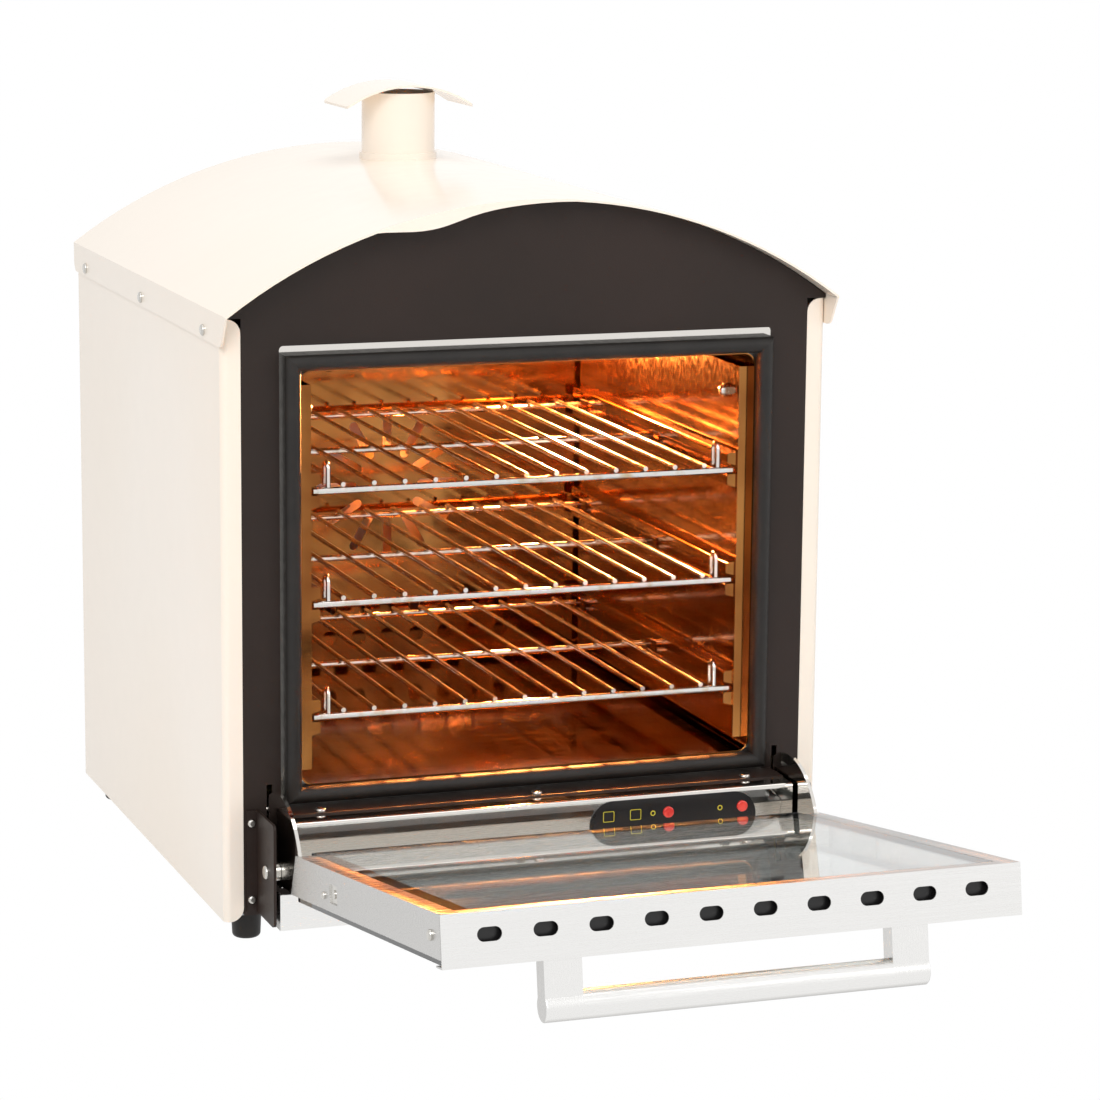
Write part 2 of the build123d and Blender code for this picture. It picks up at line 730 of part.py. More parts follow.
def door_gasket():
    """Four mitred lengths of the profile, moulded together at the corners."""
    low = cavity_floor_z - gasket_gap - gasket_width
    high = cavity_roof_z + gasket_gap + gasket_width
    middle = (low + high) / 2
    rise = (high - low) / 2
    mitre = gasket_width + gasket_gap
    cut_front, cut_depth = -2 * gasket_proud, 4 * gasket_proud
    upright = extrude(Pos(0, 0, low) * gasket_section(), high - low)
    wedge = make_face(Polyline((-gasket_outer, low), (mitre - gasket_outer, low + mitre),
                               (mitre - gasket_outer, high - mitre), (-gasket_outer, high), close=True))
    upright = upright & facing_front(wedge, cut_front, cut_depth)
    turned = Rot(0, 90, 0) * extrude(
        Pos(gasket_outer - rise, 0, -gasket_outer) * gasket_section(), 2 * gasket_outer)
    turned = Pos(0, 0, middle) * turned
    lid = make_face(Polyline((-gasket_outer, high), (gasket_outer, high),
                             (gasket_outer - mitre, high - mitre), (mitre - gasket_outer, high - mitre),
                             close=True))
    turned = turned & facing_front(lid, cut_front, cut_depth)
    lower = Pos(0, 0, 2 * middle) * mirror(turned, Plane.XY)
    return upright + mirrored(upright) + turned + lower


def shelf_runner():
    """Left runner panel: folded to the wall at both ends, two ribs for each rack."""
    face = -runner_face
    back = face - runner_sheet
    y0, y1 = runner_front, runner_end
    sheet = block(back, face, y0, y1, runner_bottom, runner_top)
    sheet += block(-cavity_half, face, y0, y0 + runner_sheet, runner_bottom, runner_top)
    sheet += block(-cavity_half, face, y1 - runner_sheet, y1, runner_bottom, runner_top)
    for level in rack_levels:
        seat = level - rack_bar / 2 - lay_gap
        for low in (seat - rib_height, seat + rib_pair_gap):
            rib = make_face(Polyline((face - rib_root, low - rib_slope), (face + rib_proud, low + rib_slope),
                                     (face + rib_proud, low + rib_height),
                                     (face - rib_root, low + rib_height), close=True))
            rib = fillet(rib.vertices().group_by(Axis.X)[-1], rib_round)
            sheet += facing_front(rib, y0 + rib_end, y1 - y0 - 2 * rib_end)
    for y in nut_rows():
        z = runner_top - nut_inset_z
        sheet -= rod((back - 1, y, z), (face + 1, y, z), nut_stud + screw_gap)
    return sheet


def nut_rows():
    """Distances of the dome nuts behind the fascia plane."""
    return (runner_front + nut_inset_y, runner_end - nut_inset_y)


def dome_nuts():
    """Two dome nuts on each side hold the runner panels."""
    nuts = []
    z = runner_top - nut_inset_z
    for y in nut_rows():
        plane = Plane(origin=(-runner_face, y, z), z_dir=(1, 0, 0))
        nut = extrude(plane * RegularPolygon(nut_across / sqrt(3), 6), nut_flats)
        dome = extrude(plane * Circle(nut_across / 2 - 0.6), nut_height)
        dome = fillet(dome.edges().filter_by(GeomType.CIRCLE).sort_by(Axis.X)[-1], nut_height - nut_flats - 0.2)
        stud = extrude(plane * Circle(nut_stud), runner_face - cavity_half)
        nut = nut + dome + stud
        nuts += [nut, mirrored(nut)]
    return Compound(nuts)


def wire_rack(level):
    """Wire shelf: cross bars, wires from front to back laid on them, two front hoops."""
    y0, y1 = rack_front, rack_rear
    pieces = []
    for y in (y0, (y0 + y1) / 2, y1):
        pieces.append(rod((-rack_half, y, level), (rack_half, y, level), rack_bar / 2))
    wire_z = level + (rack_bar + rack_wire) / 2 + weld_gap
    for index in range(rack_wires):
        x = (index - (rack_wires - 1) / 2) * rack_wire_pitch
        pieces.append(rod((x, y0 - rack_bar / 4, wire_z), (x, y1 + rack_bar / 4, wire_z), rack_wire / 2))
    for sign in (-1, 1):
        pieces.append(Pos(sign * (rack_half - hoop_inset), y0, level + rack_bar / 2 + weld_gap) * rack_hoop())
    return Compound(pieces)


def rack_hoop():
    """Upright hairpin welded on the front bar: it stops what lies on the rack from sliding off."""
    crown = hoop_height - hoop_reach / 2
    path = Wire([
        Line((0, 0, 0), (0, 0, crown)),
        ThreePointArc((0, 0, crown), (0, hoop_reach / 2, hoop_height), (0, hoop_reach, crown)),
        Line((0, hoop_reach, crown), (0, hoop_reach, 0)),
    ])
    return sweep(Plane(origin=(0, 0, 0), z_dir=(0, 0, 1)) * Circle(rack_wire / 2), path)


def fan_cover():
    """Perforated cover in front of the fan: hole rows and a ring of intake slots."""
    half = cavity_half - baffle_edge
    height = cavity_roof_z - cavity_floor_z - 2 * baffle_edge
    plate = Pos(0, fan_z) * RectangleRounded(2 * half, height, 10)
    for column in range(baffle_columns):
        for row in range(baffle_rows):
            x = (column - (baffle_columns - 1) / 2) * baffle_hole_pitch
            z = fan_z + height / 2 - 18 - (row % 2) * baffle_hole_pitch
            if row > 1:
                z = 2 * fan_z - z
            plate -= Pos(x, z) * Circle(baffle_hole / 2)
    for index in range(baffle_intake_slots):
        turn = Rot(0, 0, index * 360 / baffle_intake_slots)
        plate -= Pos(0, fan_z) * turn * Pos(baffle_intake - 20, 0) * SlotOverall(34, 7)
    pieces = [facing_front(plate, baffle_plane, baffle_sheet)]
    for sx in (-1, 1):
        for z in (fan_z - spacer_rise, fan_z + spacer_rise):
            x = sx * (half - spacer_inset)
            pieces.append(tube((x, baffle_plane + baffle_sheet, z), (x, cavity_back, z),
                               spacer_radius, spacer_bore))
    return Compound(pieces)


def convection_fan():
    """Fan wheel: back plate, bent-up radial blades, hub and shaft."""
    y0 = fan_plane
    y1 = fan_plane + blade_depth
    z = fan_z
    wheel = rod((0, y1, z), (0, y1 + blade_sheet, z), fan_radius)
    blade = block(fan_radius * 0.45, fan_radius - 2, y0, y1, -blade_sheet / 2, blade_sheet / 2)
    for index in range(fan_blades):
        wheel += Pos(0, 0, z) * Rot(0, index * 360 / fan_blades, 0) * blade
    hub = rod((0, y0 + 4, z), (0, y1 + blade_sheet, z), fan_hub)
    shaft = rod((0, y0 + 2, z), (0, cavity_back + motor_plate + shaft_reach, z), shaft_radius)
    return wheel + hub + shaft


def fan_motor():
    """Motor behind the cavity: mounting plate, can and a bored front bearing."""
    y0 = cavity_back + cavity_sheet
    z = fan_z
    plate = block(-motor_flange, motor_flange, y0, y0 + motor_plate, z - motor_flange, z + motor_flange)
    can = rod((0, y0 + motor_plate, z), (0, y0 + motor_plate + motor_length, z), motor_radius)
    can = fillet(can.edges().filter_by(GeomType.CIRCLE).sort_by(Axis.Y)[-1], 6)
    bore_end = y0 + motor_plate + shaft_reach + shaft_end_gap
    bore = rod((0, y0 - 1, z), (0, bore_end, z), shaft_radius + shaft_clearance)
    return plate + can - bore


def heating_element():
    """Ring heater round the fan with two legs through the rear wall."""
    z = fan_z
    ring_plane = Plane(origin=(0, element_plane, z), x_dir=(1, 0, 0), z_dir=(0, -1, 0))
    gap = asin(30 / element_radius)
    start = (30, -element_radius * cos(gap))
    arc = ThreePointArc(start, (0, element_radius), (-start[0], start[1]))
    path = ring_plane * arc
    first = path @ 0
    ring = sweep(Plane(origin=first, z_dir=path % 0) * Circle(element_tube), path)
    for sign in (-1, 1):
        x, leg_z = sign * 30, z - element_radius * cos(gap)
        low_z = z - element_radius - 22
        ring += rod((x, element_plane, leg_z), (x, element_plane, low_z), element_tube)
        ring += Pos(x, element_plane, low_z) * Sphere(element_tube)
        ring += rod((x, element_plane, low_z), (x, cavity_back + 16, low_z), element_tube)
    return ring


def oven_lamp():
    """Lamp holder above the cavity roof."""
    y, z = lamp_y, cavity_roof_z + cavity_sheet
    flange = tube((lamp_x, y, z), (lamp_x, y, z + 1.5), lamp_radius + 6, lamp_radius - 4)
    cup = tube((lamp_x, y, z + 1.5), (lamp_x, y, z + 34), lamp_radius, lamp_radius - 1.5)
    lid = rod((lamp_x, y, z + 34), (lamp_x, y, z + 36), lamp_radius)
    return flange + cup + lid


def lamp_glass():
    """Shallow glass dome of the lamp, let into the cavity roof."""
    y = lamp_y
    top = cavity_roof_z + cavity_sheet
    disc = rod((lamp_x, y, cavity_roof_z - 2), (lamp_x, y, top), lamp_radius)
    dome = rod((lamp_x, y, cavity_roof_z - lamp_dome), (lamp_x, y, cavity_roof_z - 2), lamp_radius - 3)
    dome = fillet(dome.edges().filter_by(GeomType.CIRCLE).sort_by(Axis.Z)[0], 6)
    return disc + dome


def insulation():
    """Mineral-wool jacket round the sides and the top of the cavity."""
    y0, y1 = wool_front, cavity_back - wool_behind
    grow = cavity_sheet + wool_gap
    outer = mouth_profile(grow + wool_depth)
    jacket = facing_front(outer - mouth_profile(grow), y0, y1 - y0)
    z = cavity_roof_z
    jacket -= rod((0, chimney_y, z - 10), (0, chimney_y, z + 60), duct_radius + 12)
    jacket -= rod((lamp_x, lamp_y, z - 10), (lamp_x, lamp_y, z + 60), lamp_radius + 10)
    return jacket


def wool_supports():
    """Two cradle bars on the tray that carry the jacket and the cavity."""
    low = tray_z + tray_sheet
    high = cavity_floor_z - cavity_sheet - wool_gap - wool_depth
    half = cradle_width / 2
    inner = half - cradle_sheet
    bars = []
    for y in (wool_front + cradle_inset, cavity_back - wool_behind - cradle_inset - cradle_depth):
        bar = block(-half, half, y, y + cradle_depth, low, high)
        bar -= block(-inner, inner, y - 1, y + cradle_depth - cradle_sheet, low + cradle_sheet, high - cradle_sheet)
        bars.append(bar)
    return Compound(bars)


# ---------------------------------------------------------------- lower box pieces
def control_fascia():
    """Polished control fascia: front, ledge on top and two side returns."""
    width = 2 * box_half
    section = make_face(Polyline((-box_reach, box_split), (-box_reach, box_top), (-fit_gap, box_top),
                                 (-fit_gap, box_split), close=True))
    section = fillet(section.vertices().sort_by(Axis.X)[:2].sort_by(Axis.Y)[-1], box_bend)
    solid = facing_side(section, -box_half, width)
    hollow = make_face(Polyline((-box_reach + box_sheet, box_split - 1),
                                (-box_reach + box_sheet, box_top - box_sheet),
                                (1, box_top - box_sheet), (1, box_split - 1), close=True))
    hollow = fillet(hollow.vertices().sort_by(Axis.X)[:2].sort_by(Axis.Y)[-1], box_bend - box_sheet)
    shell = solid - facing_side(hollow, -box_half + box_sheet, width - 2 * box_sheet)
    for x in button_x:
        shell -= rod((x, -box_reach - 1, button_z), (x, -box_reach + 3, button_z), button_radius + button_gap)
    shell -= rod((-box_half - 1, pivot_y, pivot_z), (box_half + 1, pivot_y, pivot_z), pin_radius + 0.3)
    for x in (-strip_screw_x, 0, strip_screw_x):
        shell -= rod((x, strip_screw_y, box_top - 2), (x, strip_screw_y, box_top + 1), screw_shank + 0.2)
    return shell


def base_panel():
    """Lower front panel under the control fascia, with returns to the fascia."""
    top = box_split - fit_gap
    front = block(-base_half, base_half, -box_reach, -box_reach + box_sheet, fascia_bottom, top)
    side = block(-base_half, -base_half + box_sheet, -box_reach, -fit_gap, fascia_bottom, top)
    foot_lip = block(-base_half, base_half, -box_reach, -box_reach + 12, fascia_bottom, fascia_bottom + box_sheet)
    return front + side + mirrored(side) + foot_lip


def ledge_strip():
    """Dark strip over the back of the ledge."""
    strip = block(-box_half, box_half, -strip_depth, -fit_gap, box_top, box_top + strip_sheet)
    for x in (-strip_screw_x, 0, strip_screw_x):
        strip -= rod((x, strip_screw_y, box_top - 1), (x, strip_screw_y, box_top + 2), screw_shank + 0.2)
    return strip


def strip_screws():
    """Three bright screws in the strip."""
    at_z = box_top + strip_sheet
    return Compound([pan_screw((x, strip_screw_y, at_z), (0, 0, 1), strip_sheet + box_sheet + 2)
                     for x in (-strip_screw_x, 0, strip_screw_x)])


def hinge_bracket():
    """Left hinge side plate with a flange on the fascia and the pin hole."""
    outer = bracket_inner + bracket_sheet
    outline = make_face(Polyline((-bracket_reach, bracket_bottom), (-bracket_reach, box_top),
                                 (0, box_top), (0, bracket_bottom), close=True))
    outline = fillet(outline.vertices().group_by(Axis.X)[0], 4)
    plate = facing_side(outline, -outer, bracket_sheet)
    half = half_width - side_flange - 2
    plate += block(-half, -bracket_inner, -bracket_sheet, 0, bracket_bottom, box_top)
    for x, z in bracket_screw_places():
        plate -= rod((x, -bracket_sheet - 1, z), (x, 1, z), 1.4 + screw_gap)
    return plate - rod((-outer - 1, pivot_y, pivot_z), (-bracket_inner + 1, pivot_y, pivot_z), pin_radius + 0.1)


def hinge_pins():
    """Shouldered pins that carry the door, one through each side plate."""
    outer = bracket_inner + bracket_sheet
    plane = Plane(origin=(-outer, pivot_y, pivot_z), z_dir=(-1, 0, 0))
    head = extrude(plane * Circle(pin_head), 2.4)
    head = fillet(head.edges().filter_by(GeomType.CIRCLE).sort_by(Axis.X)[0], 1.6)
    shank = rod((-outer, pivot_y, pivot_z), (-box_half + box_sheet + 2, pivot_y, pivot_z), pin_radius)
    pin = head + shank
    return Compound([pin, mirrored(pin)])


def hinge_bushes():
    """Spacer bushes between the side plates and the door's quadrants."""
    bush = tube((-bracket_inner, pivot_y, pivot_z), (-quadrant_outer - fit_gap, pivot_y, pivot_z),
                bush_radius, pin_radius + 0.1)
    return Compound([bush, mirrored(bush)])


def bracket_screw_places():
    """Two screws in the flange of the left side plate."""
    x = -(bracket_inner + bracket_sheet + half_width - side_flange - 2) / 2
    return [(x, bracket_bottom + 9), (x, box_top - 9)]


def bracket_screws():
    """Screws that hold the side plates' flanges to the fascia."""
    screws = []
    for x, z in bracket_screw_places():
        screw = pan_screw((x, -bracket_sheet, z), (0, -1, 0), bracket_sheet, head=3.0, shank=1.4)
        screws += [screw, mirrored(screw)]
    return Compound(screws)


def overlay_face(grow=0.0):
    """Pill-shaped outline of the control overlay."""
    length = overlay_right - overlay_left
    height = overlay_top - overlay_bottom
    return Pos((overlay_left + overlay_right) / 2, (overlay_bottom + overlay_top) / 2) * SlotOverall(
        length + 2 * grow, height + 2 * grow)


def control_overlay():
    """Dark control overlay on the control fascia, open at the two buttons."""
    face = overlay_face()
    for x in button_x:
        face -= Pos(x, button_z) * Circle(button_radius + button_gap)
    return facing_front(face, -box_reach - overlay_sheet, overlay_sheet)


def push_button(x):
    """Domed button cap with its stem on the switch."""
    front = -box_reach - overlay_sheet - button_proud
    back = -box_reach + box_sheet + 2
    cap = rod((x, front, button_z), (x, back, button_z), button_radius)
    cap = fillet(cap.edges().filter_by(GeomType.CIRCLE).sort_by(Axis.Y)[0], 0.8)
    stem_end = -box_reach + board_behind - button_travel - fit_gap - 3
    return cap + rod((x, back, button_z), (x, stem_end, button_z), button_stem)


def control_board():
    """Control board on four pillars behind the control fascia, with two switches."""
    y = -box_reach + board_behind
    board = block(overlay_left - 4, overlay_right + 4, y, y + board_sheet, box_split + 6, box_top - 8)
    for x in button_x:
        board += block(x - 3, x + 3, y - 3, y, button_z - 3, button_z + 3)
    for x in (overlay_left, overlay_right):
        for z in (box_split + 9, box_top - 11):
            board += rod((x, -box_reach + box_sheet, z), (x, y, z), 2.0)
    return board


# ---------------------------------------------------------------- door pieces
def door_side_rail():
    """Left rail: channel open inwards, slanted foot, window for the catch."""
    top = door_length - rail_sheet - fit_gap
    wall = make_face(Polyline((door_plane, rail_start + rail_slant), (door_plane, top),
                              (door_plane - rail_depth, top), (door_plane - rail_depth, rail_start), close=True))
    rail = facing_side(wall, -door_half, rail_sheet)
    inner = -door_half + rail_flange
    rail += door_block(-door_half, inner, quadrant_radius + 1, top, 0, rail_sheet)
    rail += door_block(-door_half, inner, door_start, top, rail_depth - rail_sheet, rail_depth)
    rail -= door_block(-door_half - 1, -door_half + rail_sheet + 0.5, catch_from, catch_from + catch_length,
                       catch_depth - catch_height / 2, catch_depth + catch_height / 2)
    for along, drop, head in door_screw_places():
        y = door_plane - drop
        rail -= rod((-door_half - 1, y, along), (-door_half + 2, y, along), 1.6 + screw_gap)
    return rail


def door_top_rail():
    """Rail at the free end of the door, with the row of vent slots."""
    end = door_length
    x = door_half
    face = block(-x, x, door_plane - top_rail_depth, door_plane, end - rail_sheet, end)
    flange = door_block(-x, x, end - top_rail_flange, end, 0, rail_sheet)
    flange -= door_block(-x - 1, -x + rail_flange, end - top_rail_flange - 1, end - rail_sheet - 0.1, -1, 2)
    flange -= door_block(x - rail_flange, x + 1, end - top_rail_flange - 1, end - rail_sheet - 0.1, -1, 2)
    under = door_block(-x, x, end - top_rail_flange, end, top_rail_depth - rail_sheet, top_rail_depth)
    rail = face + flange + under
    slot_y = door_plane - catch_depth + 1.5
    for index in range(vent_slots):
        sx = (index - (vent_slots - 1) / 2) * vent_pitch
        slot = Pos(sx, slot_y, end - rail_sheet - 1) * extrude(SlotOverall(vent_length, vent_height), rail_sheet + 2)
        rail -= slot
    return rail


def door_foot_rail():
    """Cross channel at the pivot end, between the two panes."""
    half = quadrant_inner - 0.2
    low, high = glass_sheet + seat_sheet + 0.1, rail_depth - rail_sheet - 0.1
    rail = door_block(-half, half, door_start + 0.5, door_start + 1.7, low, high)
    rail += door_block(-half, half, door_start + 0.5, door_start + 13, low, low + rail_sheet)
    rail += door_block(-half, half, door_start + 0.5, door_start + 13, high - rail_sheet, high)
    return rail


def glass_seat():
    """Thin frame inside the rails that the inner pane rests on."""
    half = door_half - rail_sheet - 0.1
    notch = half - quadrant_sheet - 0.6
    top = door_length - rail_sheet - 0.2
    ring = door_block(-half, half, door_start + 0.5, top, glass_sheet, glass_sheet + seat_sheet)
    ring -= door_block(-half + seat_width + 8, half - seat_width - 8, door_start + seat_width,
                       top - seat_width, glass_sheet - 1, glass_sheet + seat_sheet + 1)
    for sign in (-1, 1):
        ring -= door_block(sign * notch, sign * (half + 1), door_start - 1, quadrant_lap + 1,
                           glass_sheet - 1, glass_sheet + seat_sheet + 1)
    return ring


def inner_glass():
    """Inner pane, flush with the rails."""
    half = door_half - rail_flange - glass_gap
    pane = door_block(-half, half, door_start, door_length - top_rail_flange - glass_gap, 0, glass_sheet)
    return fillet(pane.edges().filter_by(Axis.Y), 3)


def outer_glass():
    """Outer pane under the rails."""
    half = door_half - 2
    pane = door_block(-half, half, door_start, door_length - rail_sheet - glass_gap, rail_depth, door_outer_glass)
    return fillet(pane.edges().filter_by(Axis.Y), 3)


def quadrant_plate():
    """Left quadrant: boss, quarter disc that runs into the fascia and rail lap."""
    disc = Circle(quadrant_radius)
    reach = 2 * quadrant_radius
    tail = radians(quadrant_tail)
    keep = make_face(Polyline((0, 0), (0, reach), (reach, reach), (reach, -reach * sin(tail) / cos(tail)),
                              close=True))
    face = (disc & keep) + Circle(quadrant_boss)
    low = door_plane - rail_depth + rail_sheet + 0.4
    high = door_plane - rail_sheet - 0.4
    face += Pos((low + high) / 2, (quadrant_lap - 9) / 2) * Rectangle(high - low, quadrant_lap + 9)
    face -= Circle(pin_radius + pin_clearance)
    plate = facing_side(face, -quadrant_outer, quadrant_sheet)
    return door_place(plate) + stop_stud()


def stop_stud():
    """Stud that meets the back of the fascia when the door is fully open."""
    y = fascia_sheet + lay_gap + stud_radius
    z = pivot_z + sqrt(stud_reach ** 2 - (y - pivot_y) ** 2)
    return rod((-quadrant_outer - 5, y, z), (0.5 - quadrant_outer, y, z), stud_radius)


def door_catches():
    """Sprung catch plates behind the windows in the side rails."""
    x = -door_half + rail_sheet
    mid = door_plane - catch_depth
    plate = block(x, x + 1.0, mid - catch_height / 2 - 4, mid + catch_height / 2 + 3,
                  catch_from - 20, catch_from + catch_length + 5)
    hook = rod((x + 1.0, mid, catch_from + catch_length / 2), (x - 0.8, mid, catch_from + catch_length / 2), 3.0)
    catch = plate + hook
    return door_place(Compound([catch, mirrored(catch)]))


def door_screw_places():
    """Along the door, below its inner face, head radius."""
    return ((door_length - 20, 14.9, 3.6), (catch_from - 13, 18.9, 2.6))


def door_screws():
    """Pan screws in the rail sides: one at each top corner, one at each catch."""
    screws = []
    for along, drop, head in door_screw_places():
        at = (-door_half, door_plane - drop, along)
        screw = pan_screw(at, (-1, 0, 0), rail_sheet, head=head, shank=1.6)
        screws += [screw, mirrored(screw)]
    return door_place(Compound(screws))


def handle_bar():
    """Middle length of the handle tube."""
    y = door_plane - handle_drop
    inner = handle_half - handle_end
    return tube((-inner, y, handle_along), (inner, y, handle_along), handle_radius, handle_radius - 1.5)


def handle_ends():
    """Two end sockets, each with its post to the door."""
    y = door_plane - handle_drop
    inner = handle_half - handle_end
    socket = rod((-handle_half, y, handle_along), (-inner, y, handle_along), handle_radius)
    socket = fillet(socket.edges().filter_by(GeomType.CIRCLE).sort_by(Axis.X)[0], 1.0)
    post = block(-handle_half, -inner, y, door_plane - top_rail_depth,
                 handle_along - post_depth / 2, handle_along + post_depth / 2)
    end = socket + post
    return Compound([end, mirrored(end)])


# ---------------------------------------------------------------- build
def build():
    """Make every piece and write it."""
    os.makedirs("parts", exist_ok=True)
    panel = side_panel()
    save("side_panel_left", panel)
    save("side_panel_right", mirrored(panel))
    save("roof_panel", roof_panel())
    save("front_fascia", fascia())
    save("rear_panel", rear_panel())
    save("base_tray", base_tray())
    save("feet", Compound([foot(x, y) for x, y in foot_places()]))
    save("foot_screws", foot_screws())
    save("roof_screws", roof_screws())
    save("rear_screws", rear_screws())
    save("cable_inlet", cable_inlet())
    save("chimney_tube", chimney_tube())
    save("chimney_collar", chimney_collar())
    save("vent_duct", vent_duct())
    save("chimney_cap", chimney_cap())
    save("cap_strap", cap_strap())
    for name, shape in cavity_panels().items():
        save(name, shape)
    save("cavity_back_wall", cavity_back_wall())
    save("front_frame", front_frame())
    save("door_gasket", door_gasket())
    runner = shelf_runner()
    save("shelf_runners", Compound([runner, mirrored(runner)]))
    save("dome_nuts", dome_nuts())
    for level, name in zip(rack_levels, ("lower", "middle", "upper")):
        save("rack_" + name, wire_rack(level))
    save("fan_cover", fan_cover())
    save("convection_fan", convection_fan())
    save("fan_motor", fan_motor())
    save("heating_element", heating_element())
    save("lamp_holder", oven_lamp())
    save("lamp_glass", lamp_glass())
    save("insulation", insulation())
    save("cradle_bars", wool_supports())
    save("control_fascia", control_fascia())
    save("base_panel", base_panel())
    save("ledge_strip", ledge_strip())
    save("strip_screws", strip_screws())
    bracket = hinge_bracket()
    save("hinge_brackets", Compound([bracket, mirrored(bracket)]))
    save("hinge_pins", hinge_pins())
    save("hinge_bushes", hinge_bushes())
    save("bracket_screws", bracket_screws())
    save("control_overlay", control_overlay())
    save("heat_button", push_button(button_x[0]))
    save("power_button", push_button(button_x[1]))
    save("control_board", control_board())
    rail = door_place(door_side_rail())
    save("door_rail_left", rail)
    save("door_rail_right", mirrored(rail))
    save("door_top_rail", door_place(door_top_rail()))
    save("door_foot_rail", door_place(door_foot_rail()))
    save("glass_seat", door_place(glass_seat()))
    save("inner_glass", door_place(inner_glass()))
    save("outer_glass", door_place(outer_glass()))
    quadrant = quadrant_plate()
    save("quadrant_plates", Compound([quadrant, mirrored(quadrant)]))
    save("door_catches", door_catches())
    save("door_screws", door_screws())
    save("handle_bar", door_place(handle_bar()))
    save("handle_ends", door_place(handle_ends()))


build()
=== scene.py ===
"""Looks of the counter-top potato oven: materials, printed marks, lights and camera."""
import json
from math import cos, pi, radians, sin

import bpy
import numpy as np
from mathutils import Matrix, Vector

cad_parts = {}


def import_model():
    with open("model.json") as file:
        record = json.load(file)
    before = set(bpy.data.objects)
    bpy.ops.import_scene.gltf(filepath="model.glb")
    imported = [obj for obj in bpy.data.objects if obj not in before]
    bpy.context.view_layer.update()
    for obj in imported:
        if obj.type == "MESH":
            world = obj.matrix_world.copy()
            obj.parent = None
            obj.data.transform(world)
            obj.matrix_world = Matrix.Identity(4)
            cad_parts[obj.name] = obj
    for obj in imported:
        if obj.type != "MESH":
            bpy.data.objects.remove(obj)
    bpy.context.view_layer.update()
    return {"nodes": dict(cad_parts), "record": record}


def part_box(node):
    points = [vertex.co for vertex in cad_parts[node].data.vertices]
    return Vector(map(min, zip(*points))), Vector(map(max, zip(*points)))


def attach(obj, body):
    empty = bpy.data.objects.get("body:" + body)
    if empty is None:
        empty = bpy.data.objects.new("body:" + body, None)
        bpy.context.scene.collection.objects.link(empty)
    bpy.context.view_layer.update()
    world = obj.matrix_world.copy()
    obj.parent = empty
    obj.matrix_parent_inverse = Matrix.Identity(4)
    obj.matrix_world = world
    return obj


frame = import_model()
NODES = frame["nodes"]


# ------------------------------------------------------------------ colours and nodes
def linear(code, alpha=1.0):
    """sRGB hex to the linear values that shaders use."""
    parts = [int(code[i:i + 2], 16) / 255 for i in (0, 2, 4)]
    return [p / 12.92 if p <= 0.04045 else ((p + 0.055) / 1.055) ** 2.4 for p in parts] + [alpha]


def add(tree, kind, settings=None, to=None, **links):
    """Add a node; a link is input name = value, or = (node, output); to = (output, node, input)."""
    node = tree.nodes.new(kind)
    for key, value in (settings or {}).items():
        setattr(node, key, value)
    for key, value in links.items():
        name = key.replace("__", " ")
        socket = node.inputs[int(name[1:])] if name[0] == "i" and name[1:].isdigit() else node.inputs[name]
        if isinstance(value, tuple) and hasattr(value[0], "outputs"):
            tree.links.new(value[0].outputs[value[1]], socket)
        else:
            socket.default_value = value
    if to:
        tree.links.new(node.outputs[to[0]], to[1].inputs[to[2]])
    return node


def begin(name, color, rough, metal=0.0):
    """A material with its shader and Object coordinates in metres."""
    mat = bpy.data.materials.new(name)
    mat.use_nodes = True
    tree = mat.node_tree
    shader = tree.nodes["Principled BSDF"]
    shader.inputs["Base Color"].default_value = linear(color)
    shader.inputs["Roughness"].default_value = rough
    shader.inputs["Metallic"].default_value = metal
    coords = add(tree, "ShaderNodeTexCoord")
    return mat, tree, shader, (coords, "Object")


# ------------------------------------------------------------------ finishes
MM = 0.001
MIDDLE = {"From__Min": 0.3, "From__Max": 0.7}       # part of a noise's values that a roughness range spans
CORE = {"From__Min": 0.35, "From__Max": 0.65}       # part that a change of colour spans
COLORS = {"data_type": "RGBA"}


def cream_powder_coat():
    """Gloss polyester powder coat on sheet: faint orange peel 4 mm across, soft highlights."""
    mat, tree, shader, place = begin("cream_powder_coat", "FBEFE1", 0.17)
    drift = add(tree, "ShaderNodeTexNoise", Vector=place, Scale=1 / (300 * MM), Detail=1.0)
    shade = add(tree, "ShaderNodeMapRange", Value=(drift, "Fac"), **CORE)
    add(tree, "ShaderNodeMix", COLORS, (2, shader, "Base Color"), i0=(shade, 0), i6=linear("FCF1E4"),
        i7=linear("FAEDDD"))
    haze = add(tree, "ShaderNodeTexNoise", Vector=place, Scale=1 / (20 * MM), Detail=2.0)
    add(tree, "ShaderNodeMapRange", None, (0, shader, "Roughness"), Value=(haze, "Fac"), To__Min=0.16,
        To__Max=0.19, **MIDDLE)
    peel = add(tree, "ShaderNodeTexNoise", Vector=place, Scale=1 / (4 * MM), Detail=1.0)
    add(tree, "ShaderNodeBump", None, (0, shader, "Normal"), Distance=0.002 * MM, Height=(peel, "Fac"))
    return mat


